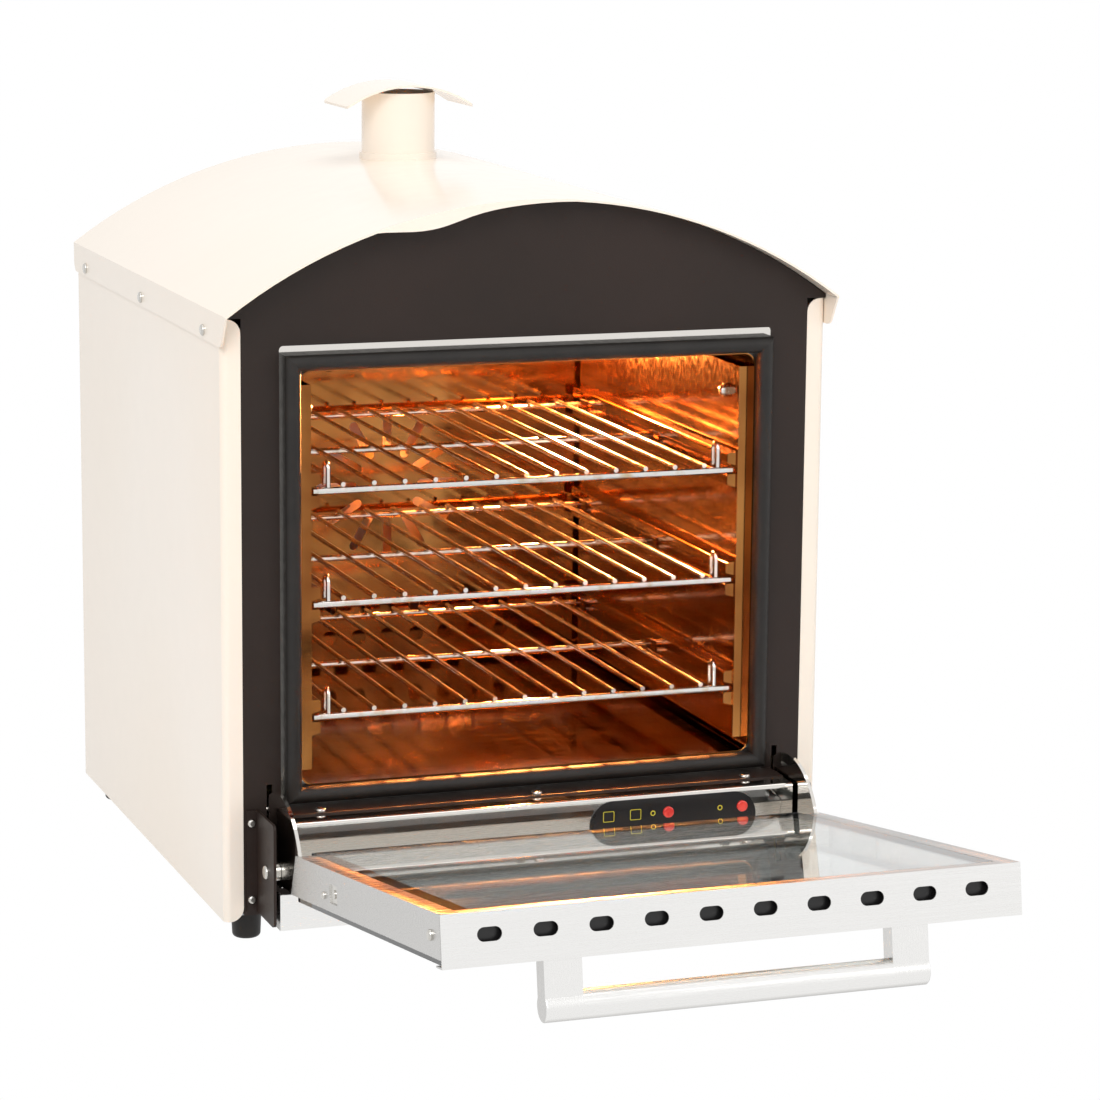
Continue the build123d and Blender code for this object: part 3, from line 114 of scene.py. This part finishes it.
def dark_powder_coat():
    """Satin brown-black powder coat with a fine leather-like texture 1 mm across."""
    mat, tree, shader, place = begin("dark_powder_coat", "271C17", 0.42)
    shader.inputs["Specular IOR Level"].default_value = 0.3
    drift = add(tree, "ShaderNodeTexNoise", Vector=place, Scale=1 / (120 * MM), Detail=2.0)
    shade = add(tree, "ShaderNodeMapRange", Value=(drift, "Fac"), **CORE)
    add(tree, "ShaderNodeMix", COLORS, (2, shader, "Base Color"), i0=(shade, 0), i6=linear("2A1E19"),
        i7=linear("241A15"))
    haze = add(tree, "ShaderNodeTexNoise", Vector=place, Scale=1 / (20 * MM), Detail=3.0)
    add(tree, "ShaderNodeMapRange", None, (0, shader, "Roughness"), Value=(haze, "Fac"), To__Min=0.40,
        To__Max=0.52, **MIDDLE)
    grit = add(tree, "ShaderNodeTexNoise", Vector=place, Scale=1 / (1.1 * MM), Detail=3.0)
    add(tree, "ShaderNodeBump", None, (0, shader, "Normal"), Distance=0.05 * MM, Height=(grit, "Fac"))
    return mat


def polished_stainless():
    """Mirror-polished stainless sheet: soft waves from rolling and fine wiping marks."""
    mat, tree, shader, place = begin("polished_stainless", "E0DCD6", 0.06, 1.0)
    along = add(tree, "ShaderNodeMapping", Vector=place, Scale=[1 / 6, 1, 1])
    wipe = add(tree, "ShaderNodeTexNoise", Vector=(along, 0), Scale=1 / (4 * MM), Detail=3.0)
    add(tree, "ShaderNodeMapRange", None, (0, shader, "Roughness"), Value=(wipe, "Fac"), To__Min=0.04,
        To__Max=0.10, **MIDDLE)
    wave = add(tree, "ShaderNodeTexNoise", Vector=place, Scale=1 / (70 * MM), Detail=1.0)
    add(tree, "ShaderNodeBump", None, (0, shader, "Normal"), Strength=0.5, Distance=0.4 * MM,
        Height=(wave, "Fac"))
    return mat


def lamp_glow_stainless():
    """Polished cavity sheet coloured straw to bronze as painted warm lamplight, with soft rolling waves and
    wiping marks.
    """
    mat, tree, shader, place = begin("lamp_glow_stainless", "A8703C", 0.08, 1.0)
    # painted warm lamplight: these orange-bronze colours stand in for the oven lamp's glow, varied in blotches
    # 90 mm across
    stain = add(tree, "ShaderNodeTexNoise", Vector=place, Scale=1 / (90 * MM), Detail=3.0)
    shade = add(tree, "ShaderNodeMapRange", Value=(stain, "Fac"), **CORE)
    add(tree, "ShaderNodeMix", COLORS, (2, shader, "Base Color"), i0=(shade, 0), i6=linear("B27A42"),
        i7=linear("7E4A24"))
    along = add(tree, "ShaderNodeMapping", Vector=place, Scale=[1 / 6, 1, 1])
    wipe = add(tree, "ShaderNodeTexNoise", Vector=(along, 0), Scale=1 / (4 * MM), Detail=3.0)
    add(tree, "ShaderNodeMapRange", None, (0, shader, "Roughness"), Value=(wipe, "Fac"), To__Min=0.06,
        To__Max=0.13, **MIDDLE)
    wave = add(tree, "ShaderNodeTexNoise", Vector=place, Scale=1 / (60 * MM), Detail=1.0)
    add(tree, "ShaderNodeBump", None, (0, shader, "Normal"), Strength=0.5, Distance=0.4 * MM,
        Height=(wave, "Fac"))
    return mat


def brushed_stainless(name="brushed_stainless", stretch=(60, 1, 1)):
    """Stainless with a linear brushed grain, lines about 0.6 mm apart; painted shade makes it darker where it
    turns away from the eye.
    """
    mat, tree, shader, place = begin(name, "D8D7D5", 0.27, 1.0)
    shader.inputs["Anisotropic"].default_value = 0.4
    # painted shade: colour goes from ECEBE9 facing the eye to 85827E where the surface turns away
    painted_turn_shade = add(tree, "ShaderNodeLayerWeight", Blend=0.42)
    shade = add(tree, "ShaderNodeMapRange", Value=(painted_turn_shade, "Facing"), From__Min=0.35, From__Max=1.0)
    add(tree, "ShaderNodeMix", COLORS, (2, shader, "Base Color"), i0=(shade, 0), i6=linear("ECEBE9"),
        i7=linear("85827E"))
    along = add(tree, "ShaderNodeMapping", Vector=place, Scale=[1 / length for length in stretch])
    grain = add(tree, "ShaderNodeTexNoise", Vector=(along, 0), Scale=1 / (0.6 * MM), Detail=3.0, Roughness=0.6)
    add(tree, "ShaderNodeMapRange", None, (0, shader, "Roughness"), Value=(grain, "Fac"), To__Min=0.20,
        To__Max=0.36, **MIDDLE)
    add(tree, "ShaderNodeBump", None, (0, shader, "Normal"), Strength=0.8, Distance=0.03 * MM,
        Height=(grain, "Fac"))
    return mat


def chromed_wire():
    """Bright nickel-chrome plated wire, very smooth, with slight oven haze."""
    mat, tree, shader, place = begin("chromed_wire", "DAD8D4", 0.12, 1.0)
    haze = add(tree, "ShaderNodeTexNoise", Vector=place, Scale=1 / (12 * MM), Detail=3.0)
    shade = add(tree, "ShaderNodeMapRange", Value=(haze, "Fac"), From__Min=0.5, From__Max=0.75)
    add(tree, "ShaderNodeMix", COLORS, (2, shader, "Base Color"), i0=(shade, 0), i6=linear("DDDAD6"),
        i7=linear("CBB79A"))
    add(tree, "ShaderNodeMapRange", None, (0, shader, "Roughness"), Value=(haze, "Fac"), To__Min=0.08,
        To__Max=0.22, **MIDDLE)
    return mat


def zinc_plated_sheet():
    """Plain zinc-coated sheet: faint spangle 8 mm across, half matt."""
    mat, tree, shader, place = begin("zinc_plated_sheet", "A9ACAE", 0.42, 1.0)
    cells = add(tree, "ShaderNodeTexVoronoi", {"feature": "F1"}, Vector=place, Scale=120.0)
    shade = add(tree, "ShaderNodeMapRange", Value=(cells, "Distance"), From__Min=0.1, From__Max=0.7)
    add(tree, "ShaderNodeMix", COLORS, (2, shader, "Base Color"), i0=(shade, 0), i6=linear("ACAFB1"),
        i7=linear("A4A7AA"))
    haze = add(tree, "ShaderNodeTexNoise", Vector=place, Scale=1 / (10 * MM), Detail=2.0)
    add(tree, "ShaderNodeMapRange", None, (0, shader, "Roughness"), Value=(haze, "Fac"), To__Min=0.34,
        To__Max=0.5, **MIDDLE)
    return mat


def bright_fastener():
    """Nickel-plated screw heads and nuts, turned and lightly worn."""
    mat, tree, shader, place = begin("bright_fastener", "C8C5BF", 0.2, 1.0)
    wear = add(tree, "ShaderNodeTexNoise", Vector=place, Scale=1 / (0.8 * MM), Detail=2.0)
    add(tree, "ShaderNodeMapRange", None, (0, shader, "Roughness"), Value=(wear, "Fac"), To__Min=0.14,
        To__Max=0.3, **MIDDLE)
    add(tree, "ShaderNodeBump", None, (0, shader, "Normal"), Distance=0.02 * MM, Height=(wear, "Fac"))
    return mat


def black_rubber():
    """Silicone rubber profile: matt with a faint sheen and moulding dust."""
    mat, tree, shader, place = begin("black_silicone_rubber", "1A1715", 0.5)
    shader.inputs["Specular IOR Level"].default_value = 0.35
    dust = add(tree, "ShaderNodeTexNoise", Vector=place, Scale=1 / (30 * MM), Detail=3.0)
    shade = add(tree, "ShaderNodeMapRange", Value=(dust, "Fac"), **CORE)
    add(tree, "ShaderNodeMix", COLORS, (2, shader, "Base Color"), i0=(shade, 0), i6=linear("191614"),
        i7=linear("211D1A"))
    sheen = add(tree, "ShaderNodeTexNoise", Vector=place, Scale=1 / (6 * MM), Detail=3.0)
    add(tree, "ShaderNodeMapRange", None, (0, shader, "Roughness"), Value=(sheen, "Fac"), To__Min=0.44,
        To__Max=0.56, **MIDDLE)
    skin = add(tree, "ShaderNodeTexNoise", Vector=place, Scale=1 / (1.2 * MM), Detail=2.0)
    add(tree, "ShaderNodeBump", None, (0, shader, "Normal"), Distance=0.04 * MM, Height=(skin, "Fac"))
    return mat


def moulded_nylon():
    """Black glass-filled nylon, fine spark-eroded texture."""
    mat, tree, shader, place = begin("moulded_nylon", "141416", 0.5)
    flow = add(tree, "ShaderNodeTexNoise", Vector=place, Scale=1 / (4 * MM), Detail=2.0)
    add(tree, "ShaderNodeMapRange", None, (0, shader, "Roughness"), Value=(flow, "Fac"), To__Min=0.44,
        To__Max=0.6, **MIDDLE)
    grit = add(tree, "ShaderNodeTexNoise", Vector=place, Scale=1 / (0.8 * MM), Detail=2.0)
    add(tree, "ShaderNodeBump", None, (0, shader, "Normal"), Distance=0.05 * MM, Height=(grit, "Fac"))
    return mat


def cast_aluminium():
    """Die-cast motor can, pale grey with a sandy skin."""
    mat, tree, shader, place = begin("cast_aluminium", "B4B6B8", 0.5, 1.0)
    haze = add(tree, "ShaderNodeTexNoise", Vector=place, Scale=1 / (10 * MM), Detail=2.0)
    add(tree, "ShaderNodeMapRange", None, (0, shader, "Roughness"), Value=(haze, "Fac"), To__Min=0.42,
        To__Max=0.6, **MIDDLE)
    sand = add(tree, "ShaderNodeTexNoise", Vector=place, Scale=1 / (1.5 * MM), Detail=3.0)
    add(tree, "ShaderNodeBump", None, (0, shader, "Normal"), Distance=0.1 * MM, Height=(sand, "Fac"))
    return mat


def heat_tinted_sheath():
    """Element sheath: dark oxide with straw and blue tints."""
    mat, tree, shader, place = begin("heat_tinted_sheath", "5A4A3E", 0.45, 1.0)
    oxide = add(tree, "ShaderNodeTexNoise", Vector=place, Scale=1 / (30 * MM), Detail=2.0)
    shade = add(tree, "ShaderNodeMapRange", Value=(oxide, "Fac"), **CORE)
    add(tree, "ShaderNodeMix", COLORS, (2, shader, "Base Color"), i0=(shade, 0), i6=linear("6B5236"),
        i7=linear("4A4650"))
    scale = add(tree, "ShaderNodeTexNoise", Vector=place, Scale=1 / (4 * MM), Detail=2.0)
    add(tree, "ShaderNodeMapRange", None, (0, shader, "Roughness"), Value=(scale, "Fac"), To__Min=0.36,
        To__Max=0.56, **MIDDLE)
    return mat


def mineral_wool():
    """Pressed mineral wool: matted yellow-brown fibres, drawn 1.5 mm apart so that they show."""
    mat, tree, shader, place = begin("mineral_wool", "B9A878", 0.95)
    along = add(tree, "ShaderNodeMapping", Vector=place, Scale=[1 / 8, 1, 1 / 3])
    fibre = add(tree, "ShaderNodeTexNoise", Vector=(along, 0), Scale=1 / (1.5 * MM), Detail=4.0, Roughness=0.7)
    shade = add(tree, "ShaderNodeMapRange", Value=(fibre, "Fac"), **CORE)
    add(tree, "ShaderNodeMix", COLORS, (2, shader, "Base Color"), i0=(shade, 0), i6=linear("C3B382"),
        i7=linear("8F7F55"))
    add(tree, "ShaderNodeBump", None, (0, shader, "Normal"), Distance=0.8 * MM, Height=(fibre, "Fac"))
    return mat


def printed_film():
    """Black polycarbonate film, satin, with slight finger haze."""
    mat, tree, shader, place = begin("printed_film", "1B1A1B", 0.3)
    haze = add(tree, "ShaderNodeTexNoise", Vector=place, Scale=1 / (20 * MM), Detail=2.0)
    add(tree, "ShaderNodeMapRange", None, (0, shader, "Roughness"), Value=(haze, "Fac"), To__Min=0.27,
        To__Max=0.33, **MIDDLE)
    return mat


def red_cap():
    """Glossy translucent red cap with a faint painted glow from emission."""
    mat, tree, shader, place = begin("red_cap", "D23A32", 0.18)
    shader.inputs["Coat Weight"].default_value = 0.5
    # painted glow: a faint red emission brightens the cap
    shader.inputs["Emission Color"].default_value = linear("E0443A")
    shader.inputs["Emission Strength"].default_value = 0.25
    depth = add(tree, "ShaderNodeTexNoise", Vector=place, Scale=1 / (4 * MM), Detail=1.0)
    shade = add(tree, "ShaderNodeMapRange", Value=(depth, "Fac"), **CORE)
    add(tree, "ShaderNodeMix", COLORS, (2, shader, "Base Color"), i0=(shade, 0), i6=linear("DB4A40"),
        i7=linear("C22F2A"))
    return mat


def circuit_board():
    """Green solder mask over woven glass, drawn with 6 mm bands so that the weave shows."""
    mat, tree, shader, place = begin("circuit_board", "1E5A38", 0.35)
    weave = add(tree, "ShaderNodeTexWave", {"wave_type": "BANDS"}, Vector=place, Scale=160.0, Distortion=1.0)
    shade = add(tree, "ShaderNodeMapRange", Value=(weave, "Fac"), **CORE)
    add(tree, "ShaderNodeMix", COLORS, (2, shader, "Base Color"), i0=(shade, 0), i6=linear("1E5A38"),
        i7=linear("256A43"))
    return mat


def toughened_glass():
    """Clear toughened float glass with a few wiping smears; light passes it without a dark shadow."""
    mat, tree, shader, place = begin("toughened_glass", "FCFFFE", 0.0)
    shader.inputs["Transmission Weight"].default_value = 1.0
    shader.inputs["IOR"].default_value = 1.5
    along = add(tree, "ShaderNodeMapping", Vector=place, Scale=[1 / 3, 1, 1])
    smear = add(tree, "ShaderNodeTexNoise", Vector=(along, 0), Scale=1 / (50 * MM), Detail=4.0)
    add(tree, "ShaderNodeMapRange", None, (0, shader, "Roughness"), Value=(smear, "Fac"), To__Min=0.0,
        To__Max=0.008, **MIDDLE)
    clear = add(tree, "ShaderNodeBsdfTransparent", Color=linear("DDE6E4"))
    path = add(tree, "ShaderNodeLightPath")
    add(tree, "ShaderNodeMixShader", None, (0, tree.nodes["Material Output"], "Surface"),
        Fac=(path, "Is Shadow Ray"), i1=(shader, "BSDF"), i2=(clear, "BSDF"))
    return mat


def lamp_glass():
    """Heat-proof lamp glass, lit warm from inside."""
    mat, tree, shader, place = begin("lamp_glass", "FFE2B0", 0.25)
    shader.inputs["Emission Color"].default_value = linear("FFC273")
    shader.inputs["Emission Strength"].default_value = 14.0
    glow = add(tree, "ShaderNodeTexNoise", Vector=place, Scale=1 / (12 * MM), Detail=1.0)
    shade = add(tree, "ShaderNodeMapRange", Value=(glow, "Fac"), **CORE)
    add(tree, "ShaderNodeMix", COLORS, (2, shader, "Base Color"), i0=(shade, 0), i6=linear("FFE9C4"),
        i7=linear("FFD391"))
    return mat


def printed_mark(name, color):
    """Screen-printed ink on the film, slightly uneven, with a faint painted glow from emission."""
    mat, tree, shader, place = begin(name, color, 0.4)
    # painted glow: the ink emits its own colour faintly
    shader.inputs["Emission Color"].default_value = linear(color)
    shader.inputs["Emission Strength"].default_value = 0.35
    grain = add(tree, "ShaderNodeTexNoise", Vector=place, Scale=1 / (1 * MM), Detail=2.0)
    add(tree, "ShaderNodeMapRange", None, (0, shader, "Roughness"), Value=(grain, "Fac"), To__Min=0.32,
        To__Max=0.5, **MIDDLE)
    return mat


FINISH = {
    "cream_enamel": cream_powder_coat(), "dark_enamel": dark_powder_coat(), "zinc_sheet": zinc_plated_sheet(),
    "black_rubber": black_rubber(), "bright_screw": bright_fastener(), "black_plastic": moulded_nylon(),
    "polished_steel": polished_stainless(), "rack_chrome": chromed_wire(), "cast_aluminium": cast_aluminium(),
    "element_sheath": heat_tinted_sheath(), "lamp_glass": lamp_glass(), "mineral_wool": mineral_wool(),
    "brushed_steel": brushed_stainless(), "satin_steel": brushed_stainless("satin_stainless", (1.0, 1.0, 30.0)),
    "overlay_black": printed_film(), "button_red": red_cap(), "board_green": circuit_board(),
    "clear_glass": toughened_glass(), "cavity_steel": lamp_glow_stainless(),
}
# finishes that differ from the slots: the cavity pieces take orange-bronze steel, which is painted warm
# lamplight
SPECIAL = {name: "cavity_steel" for name in (
    "cavity_floor", "cavity_roof", "cavity_wall_left", "cavity_wall_right", "cavity_back_wall", "shelf_runners",
    "fan_cover")}
# the glass seat takes black film, which is painted shade seen through the vent slots; the quadrant plates take
# polished steel
SPECIAL.update(glass_seat="overlay_black", quadrant_plates="polished_steel")
SLOTS = {s["node"]: s["material_slot"] for s in frame["record"]["subparts"]}
for node_name, obj in NODES.items():
    material = FINISH[SPECIAL.get(node_name, SLOTS[node_name])]
    if not obj.data.materials:
        obj.data.materials.append(material)
    for slot in obj.material_slots:
        slot.material = material


# ------------------------------------------------------------------ printed marks on the overlay
def box_mid(name):
    """Middle of a CAD node's box."""
    low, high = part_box(name)
    return [(a + b) / 2 for a, b in zip(low, high)]


OVERLAY_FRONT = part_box("control_overlay")[0][1] - 0.00005


def flat_mesh(name, outlines, finish):
    """Flat printed outlines: each is a strip of quads between an outer and an inner closed path in X and Z."""
    paths = np.array(outlines)
    count = paths.shape[2]
    x, z = paths[..., 0].ravel(), paths[..., 1].ravel()
    verts = np.stack([x, np.full_like(x, OVERLAY_FRONT), z], axis=1)
    here = np.arange(count)
    ahead = (here + 1) % count
    strip = np.stack([here, ahead, count + ahead, count + here], axis=1)
    starts = 2 * count * np.arange(len(outlines))
    faces = (strip[None] + starts[:, None, None]).reshape(-1, 4)
    mesh = bpy.data.meshes.new(name)
    mesh.from_pydata(verts.tolist(), [], faces.tolist())
    mesh.materials.append(finish)
    obj = bpy.data.objects.new(name, mesh)
    bpy.context.scene.collection.objects.link(obj)
    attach(obj, "body")
    return obj


def circle(x, z, r, n=24):
    """Closed circle path in X and Z, metres."""
    angle = np.linspace(0, 2 * pi, n, endpoint=False)
    return np.stack([x + r * np.cos(angle), z + r * np.sin(angle)], axis=1)


def square(x, z, half_x, half_z, corner):
    """Rounded square path with 24 points: a circle pushed out to a box of half sizes."""
    angle = np.linspace(0, 2 * pi, 24, endpoint=False) + 1e-3
    px = x + np.sign(np.cos(angle)) * (half_x - corner) + corner * np.cos(angle)
    pz = z + np.sign(np.sin(angle)) * (half_z - corner) + corner * np.sin(angle)
    return np.stack([px, pz], axis=1)


SQUARE_PLACES = (46.1 * MM, 66.6 * MM)      # from the middle of the oven to the right
RING_PLACES = (79.9 * MM, 131.6 * MM)
SQUARE_OUTER = (4.2 * MM, 3.9 * MM, 1.0 * MM)     # half width, half height, corner radius
SQUARE_INNER = (3.8 * MM, 3.5 * MM, 0.7 * MM)
RING_OUTER, RING_INNER = 1.9 * MM, 1.3 * MM


def overlay_marks():
    """Two square pictogram frames and two indicator rings in the row of the buttons."""
    row = box_mid("heat_button")[2]
    squares = [(square(x, row, *SQUARE_OUTER), square(x, row, *SQUARE_INNER)) for x in SQUARE_PLACES]
    rings = [(circle(x, row, RING_OUTER), circle(x, row, RING_INNER)) for x in RING_PLACES]
    return flat_mesh("overlay_marks", squares + rings, printed_mark("yellow_ink", "C9BE3A"))


overlay_marks()


# ------------------------------------------------------------------ painted shade: black box behind the door's vent slots
DOOR_OPEN = radians(81.3)
SHADE_BOX_UNDER = (6 * MM, 8 * MM)       # faces of the painted-shade box under the top of the closed door
SHADE_BOX_SIDE, SHADE_BOX_EDGE = 4 * MM, 1.5 * MM


def vent_shade_box():
    """Painted shade under the slots: a black box in the closed door's frame, turned back to the open door."""
    turn = np.array([[1, 0, 0], [0, cos(DOOR_OPEN), -sin(DOOR_OPEN)], [0, sin(DOOR_OPEN), cos(DOOR_OPEN)]])
    rail = NODES["door_top_rail"]
    points = np.empty(len(rail.data.vertices) * 3)
    rail.data.vertices.foreach_get("co", points)
    turned_in_place = np.array(rail.matrix_world.to_3x3()).T
    closed = (points.reshape(-1, 3) @ turned_in_place + np.array(rail.matrix_world.translation)) @ turn
    low, high = closed.min(axis=0), closed.max(axis=0)
    sides = (low[0] + SHADE_BOX_SIDE, high[0] - SHADE_BOX_SIDE)
    depths = (low[1] + SHADE_BOX_EDGE, high[1] - SHADE_BOX_EDGE)
    heights = (high[2] - SHADE_BOX_UNDER[1], high[2] - SHADE_BOX_UNDER[0])
    corners = np.stack(np.meshgrid(sides, depths, heights, indexing="ij"), axis=-1).reshape(-1, 3)
    faces = [(0, 1, 3, 2), (4, 6, 7, 5), (0, 4, 5, 1), (2, 3, 7, 6), (0, 2, 6, 4), (1, 5, 7, 3)]
    mesh = bpy.data.meshes.new("vent_shade_box")
    mesh.from_pydata((corners @ turn.T).tolist(), [], faces)
    mesh.materials.append(FINISH["overlay_black"])
    obj = bpy.data.objects.new("vent_shade_box", mesh)
    bpy.context.scene.collection.objects.link(obj)
    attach(obj, "door")


vent_shade_box()


# ------------------------------------------------------------------ floor, world, lights
def background_rays(tree):
    """1 for rays from the eye, straight or by way of metal and glass, and 0 for light."""
    path = add(tree, "ShaderNodeLightPath")
    direct = add(tree, "ShaderNodeMath", {"operation": "MAXIMUM"}, i0=(path, "Is Camera Ray"),
                 i1=(path, "Is Glossy Ray"))
    return add(tree, "ShaderNodeMath", {"operation": "MAXIMUM"}, i0=(direct, 0),
               i1=(path, "Is Transmission Ray"))


FLOOR_RADIUS, FLOOR_SIDES, FLOOR_Z = 6.0, 64, -0.5 * MM
AIM = (0, 0, 0.25)                    # the middle of the oven, where the soft lights point


def floor():
    """Pale floor disc: white to the eye, still keeping the object's shadow."""
    rim = circle(0, 0, FLOOR_RADIUS, FLOOR_SIDES)
    verts = np.column_stack([rim, np.full(FLOOR_SIDES, FLOOR_Z)])
    mesh = bpy.data.meshes.new("floor")
    mesh.from_pydata(verts.tolist(), [], [list(range(FLOOR_SIDES))])
    obj = bpy.data.objects.new("floor", mesh)
    bpy.context.scene.collection.objects.link(obj)
    mat, tree, shader, coords = begin("white_floor", "F2F2F2", 0.9)
    seen = background_rays(tree)
    white = add(tree, "ShaderNodeEmission", Color=linear("FFFFFF"), Strength=1.0)
    add(tree, "ShaderNodeMixShader", None, (0, tree.nodes["Material Output"], "Surface"), Fac=(seen, 0),
        i1=(shader, "BSDF"), i2=(white, "Emission"))
    mesh.materials.append(mat)


def world():
    """White surroundings for the eye and for reflections, a softer level for light."""
    scene_world = bpy.data.worlds.new("studio")
    bpy.context.scene.world = scene_world
    scene_world.use_nodes = True
    tree = scene_world.node_tree
    back = tree.nodes["Background"]
    back.inputs["Color"].default_value = linear("FFFFFF")
    seen = background_rays(tree)
    add(tree, "ShaderNodeMapRange", None, (0, back, "Strength"), Value=(seen, 0), To__Min=0.5, To__Max=1.0)


def area(name, place, target, size, power, color="FFFFFF"):
    """Rectangular soft light at a place, aimed at a target."""
    lamp = bpy.data.lights.new(name, "AREA")
    lamp.shape = "RECTANGLE"
    lamp.size, lamp.size_y = size
    lamp.energy = power
    lamp.color = linear(color)[:3]
    obj = bpy.data.objects.new(name, lamp)
    obj.location = place
    obj.rotation_euler = (Vector(target) - Vector(place)).to_track_quat("-Z", "Y").to_euler()
    bpy.context.scene.collection.objects.link(obj)
    return obj


def point(name, place, power, radius, color):
    """Small warm lamp."""
    lamp = bpy.data.lights.new(name, "POINT")
    lamp.energy = power
    lamp.shadow_soft_size = radius
    lamp.color = linear(color)[:3]
    obj = bpy.data.objects.new(name, lamp)
    obj.location = place
    bpy.context.scene.collection.objects.link(obj)
    return obj


floor()
world()
area("key_light", (-1.6, -2.2, 2.2), AIM, (1.6, 1.6), 52)
area("fill_light", (1.9, -1.6, 1.2), AIM, (1.4, 1.4), 12)
area("top_light", (0.2, 0.2, 2.4), (0, 0, 0.3), (1.5, 1.5), 14)
lamp_at = box_mid("lamp_glass")
point("oven_lamp", (lamp_at[0], lamp_at[1], lamp_at[2] - 0.02), 80.0, 0.012, "FFA050")
point("element_glow", (0.02, lamp_at[1] + 0.09, 0.26), 36.0, 0.03, "FF8A2E")


# ------------------------------------------------------------------ camera
def camera():
    """Camera solved from the photograph: place, turn and lens."""
    yaw, pitch, roll = radians(19.527), radians(11.042), radians(0.532)
    ahead = Vector((sin(yaw) * cos(pitch), cos(yaw) * cos(pitch), -sin(pitch)))
    right = Vector((cos(yaw), -sin(yaw), 0))
    up = right.cross(ahead)
    side = cos(roll) * right + sin(roll) * up
    top = -sin(roll) * right + cos(roll) * up
    data = bpy.data.cameras.new("camera")
    data.sensor_width = 36.0
    data.lens = 124.77
    data.clip_end = 50
    obj = bpy.data.objects.new("camera", data)
    place = Vector((-0.8758, -2.5369, 0.7927))
    turn = Matrix((side, top, -ahead)).transposed().to_4x4()
    obj.matrix_world = Matrix.Translation(place) @ turn
    bpy.context.scene.collection.objects.link(obj)
    bpy.context.scene.camera = obj


camera()
bpy.context.scene.view_settings.view_transform = "Standard"
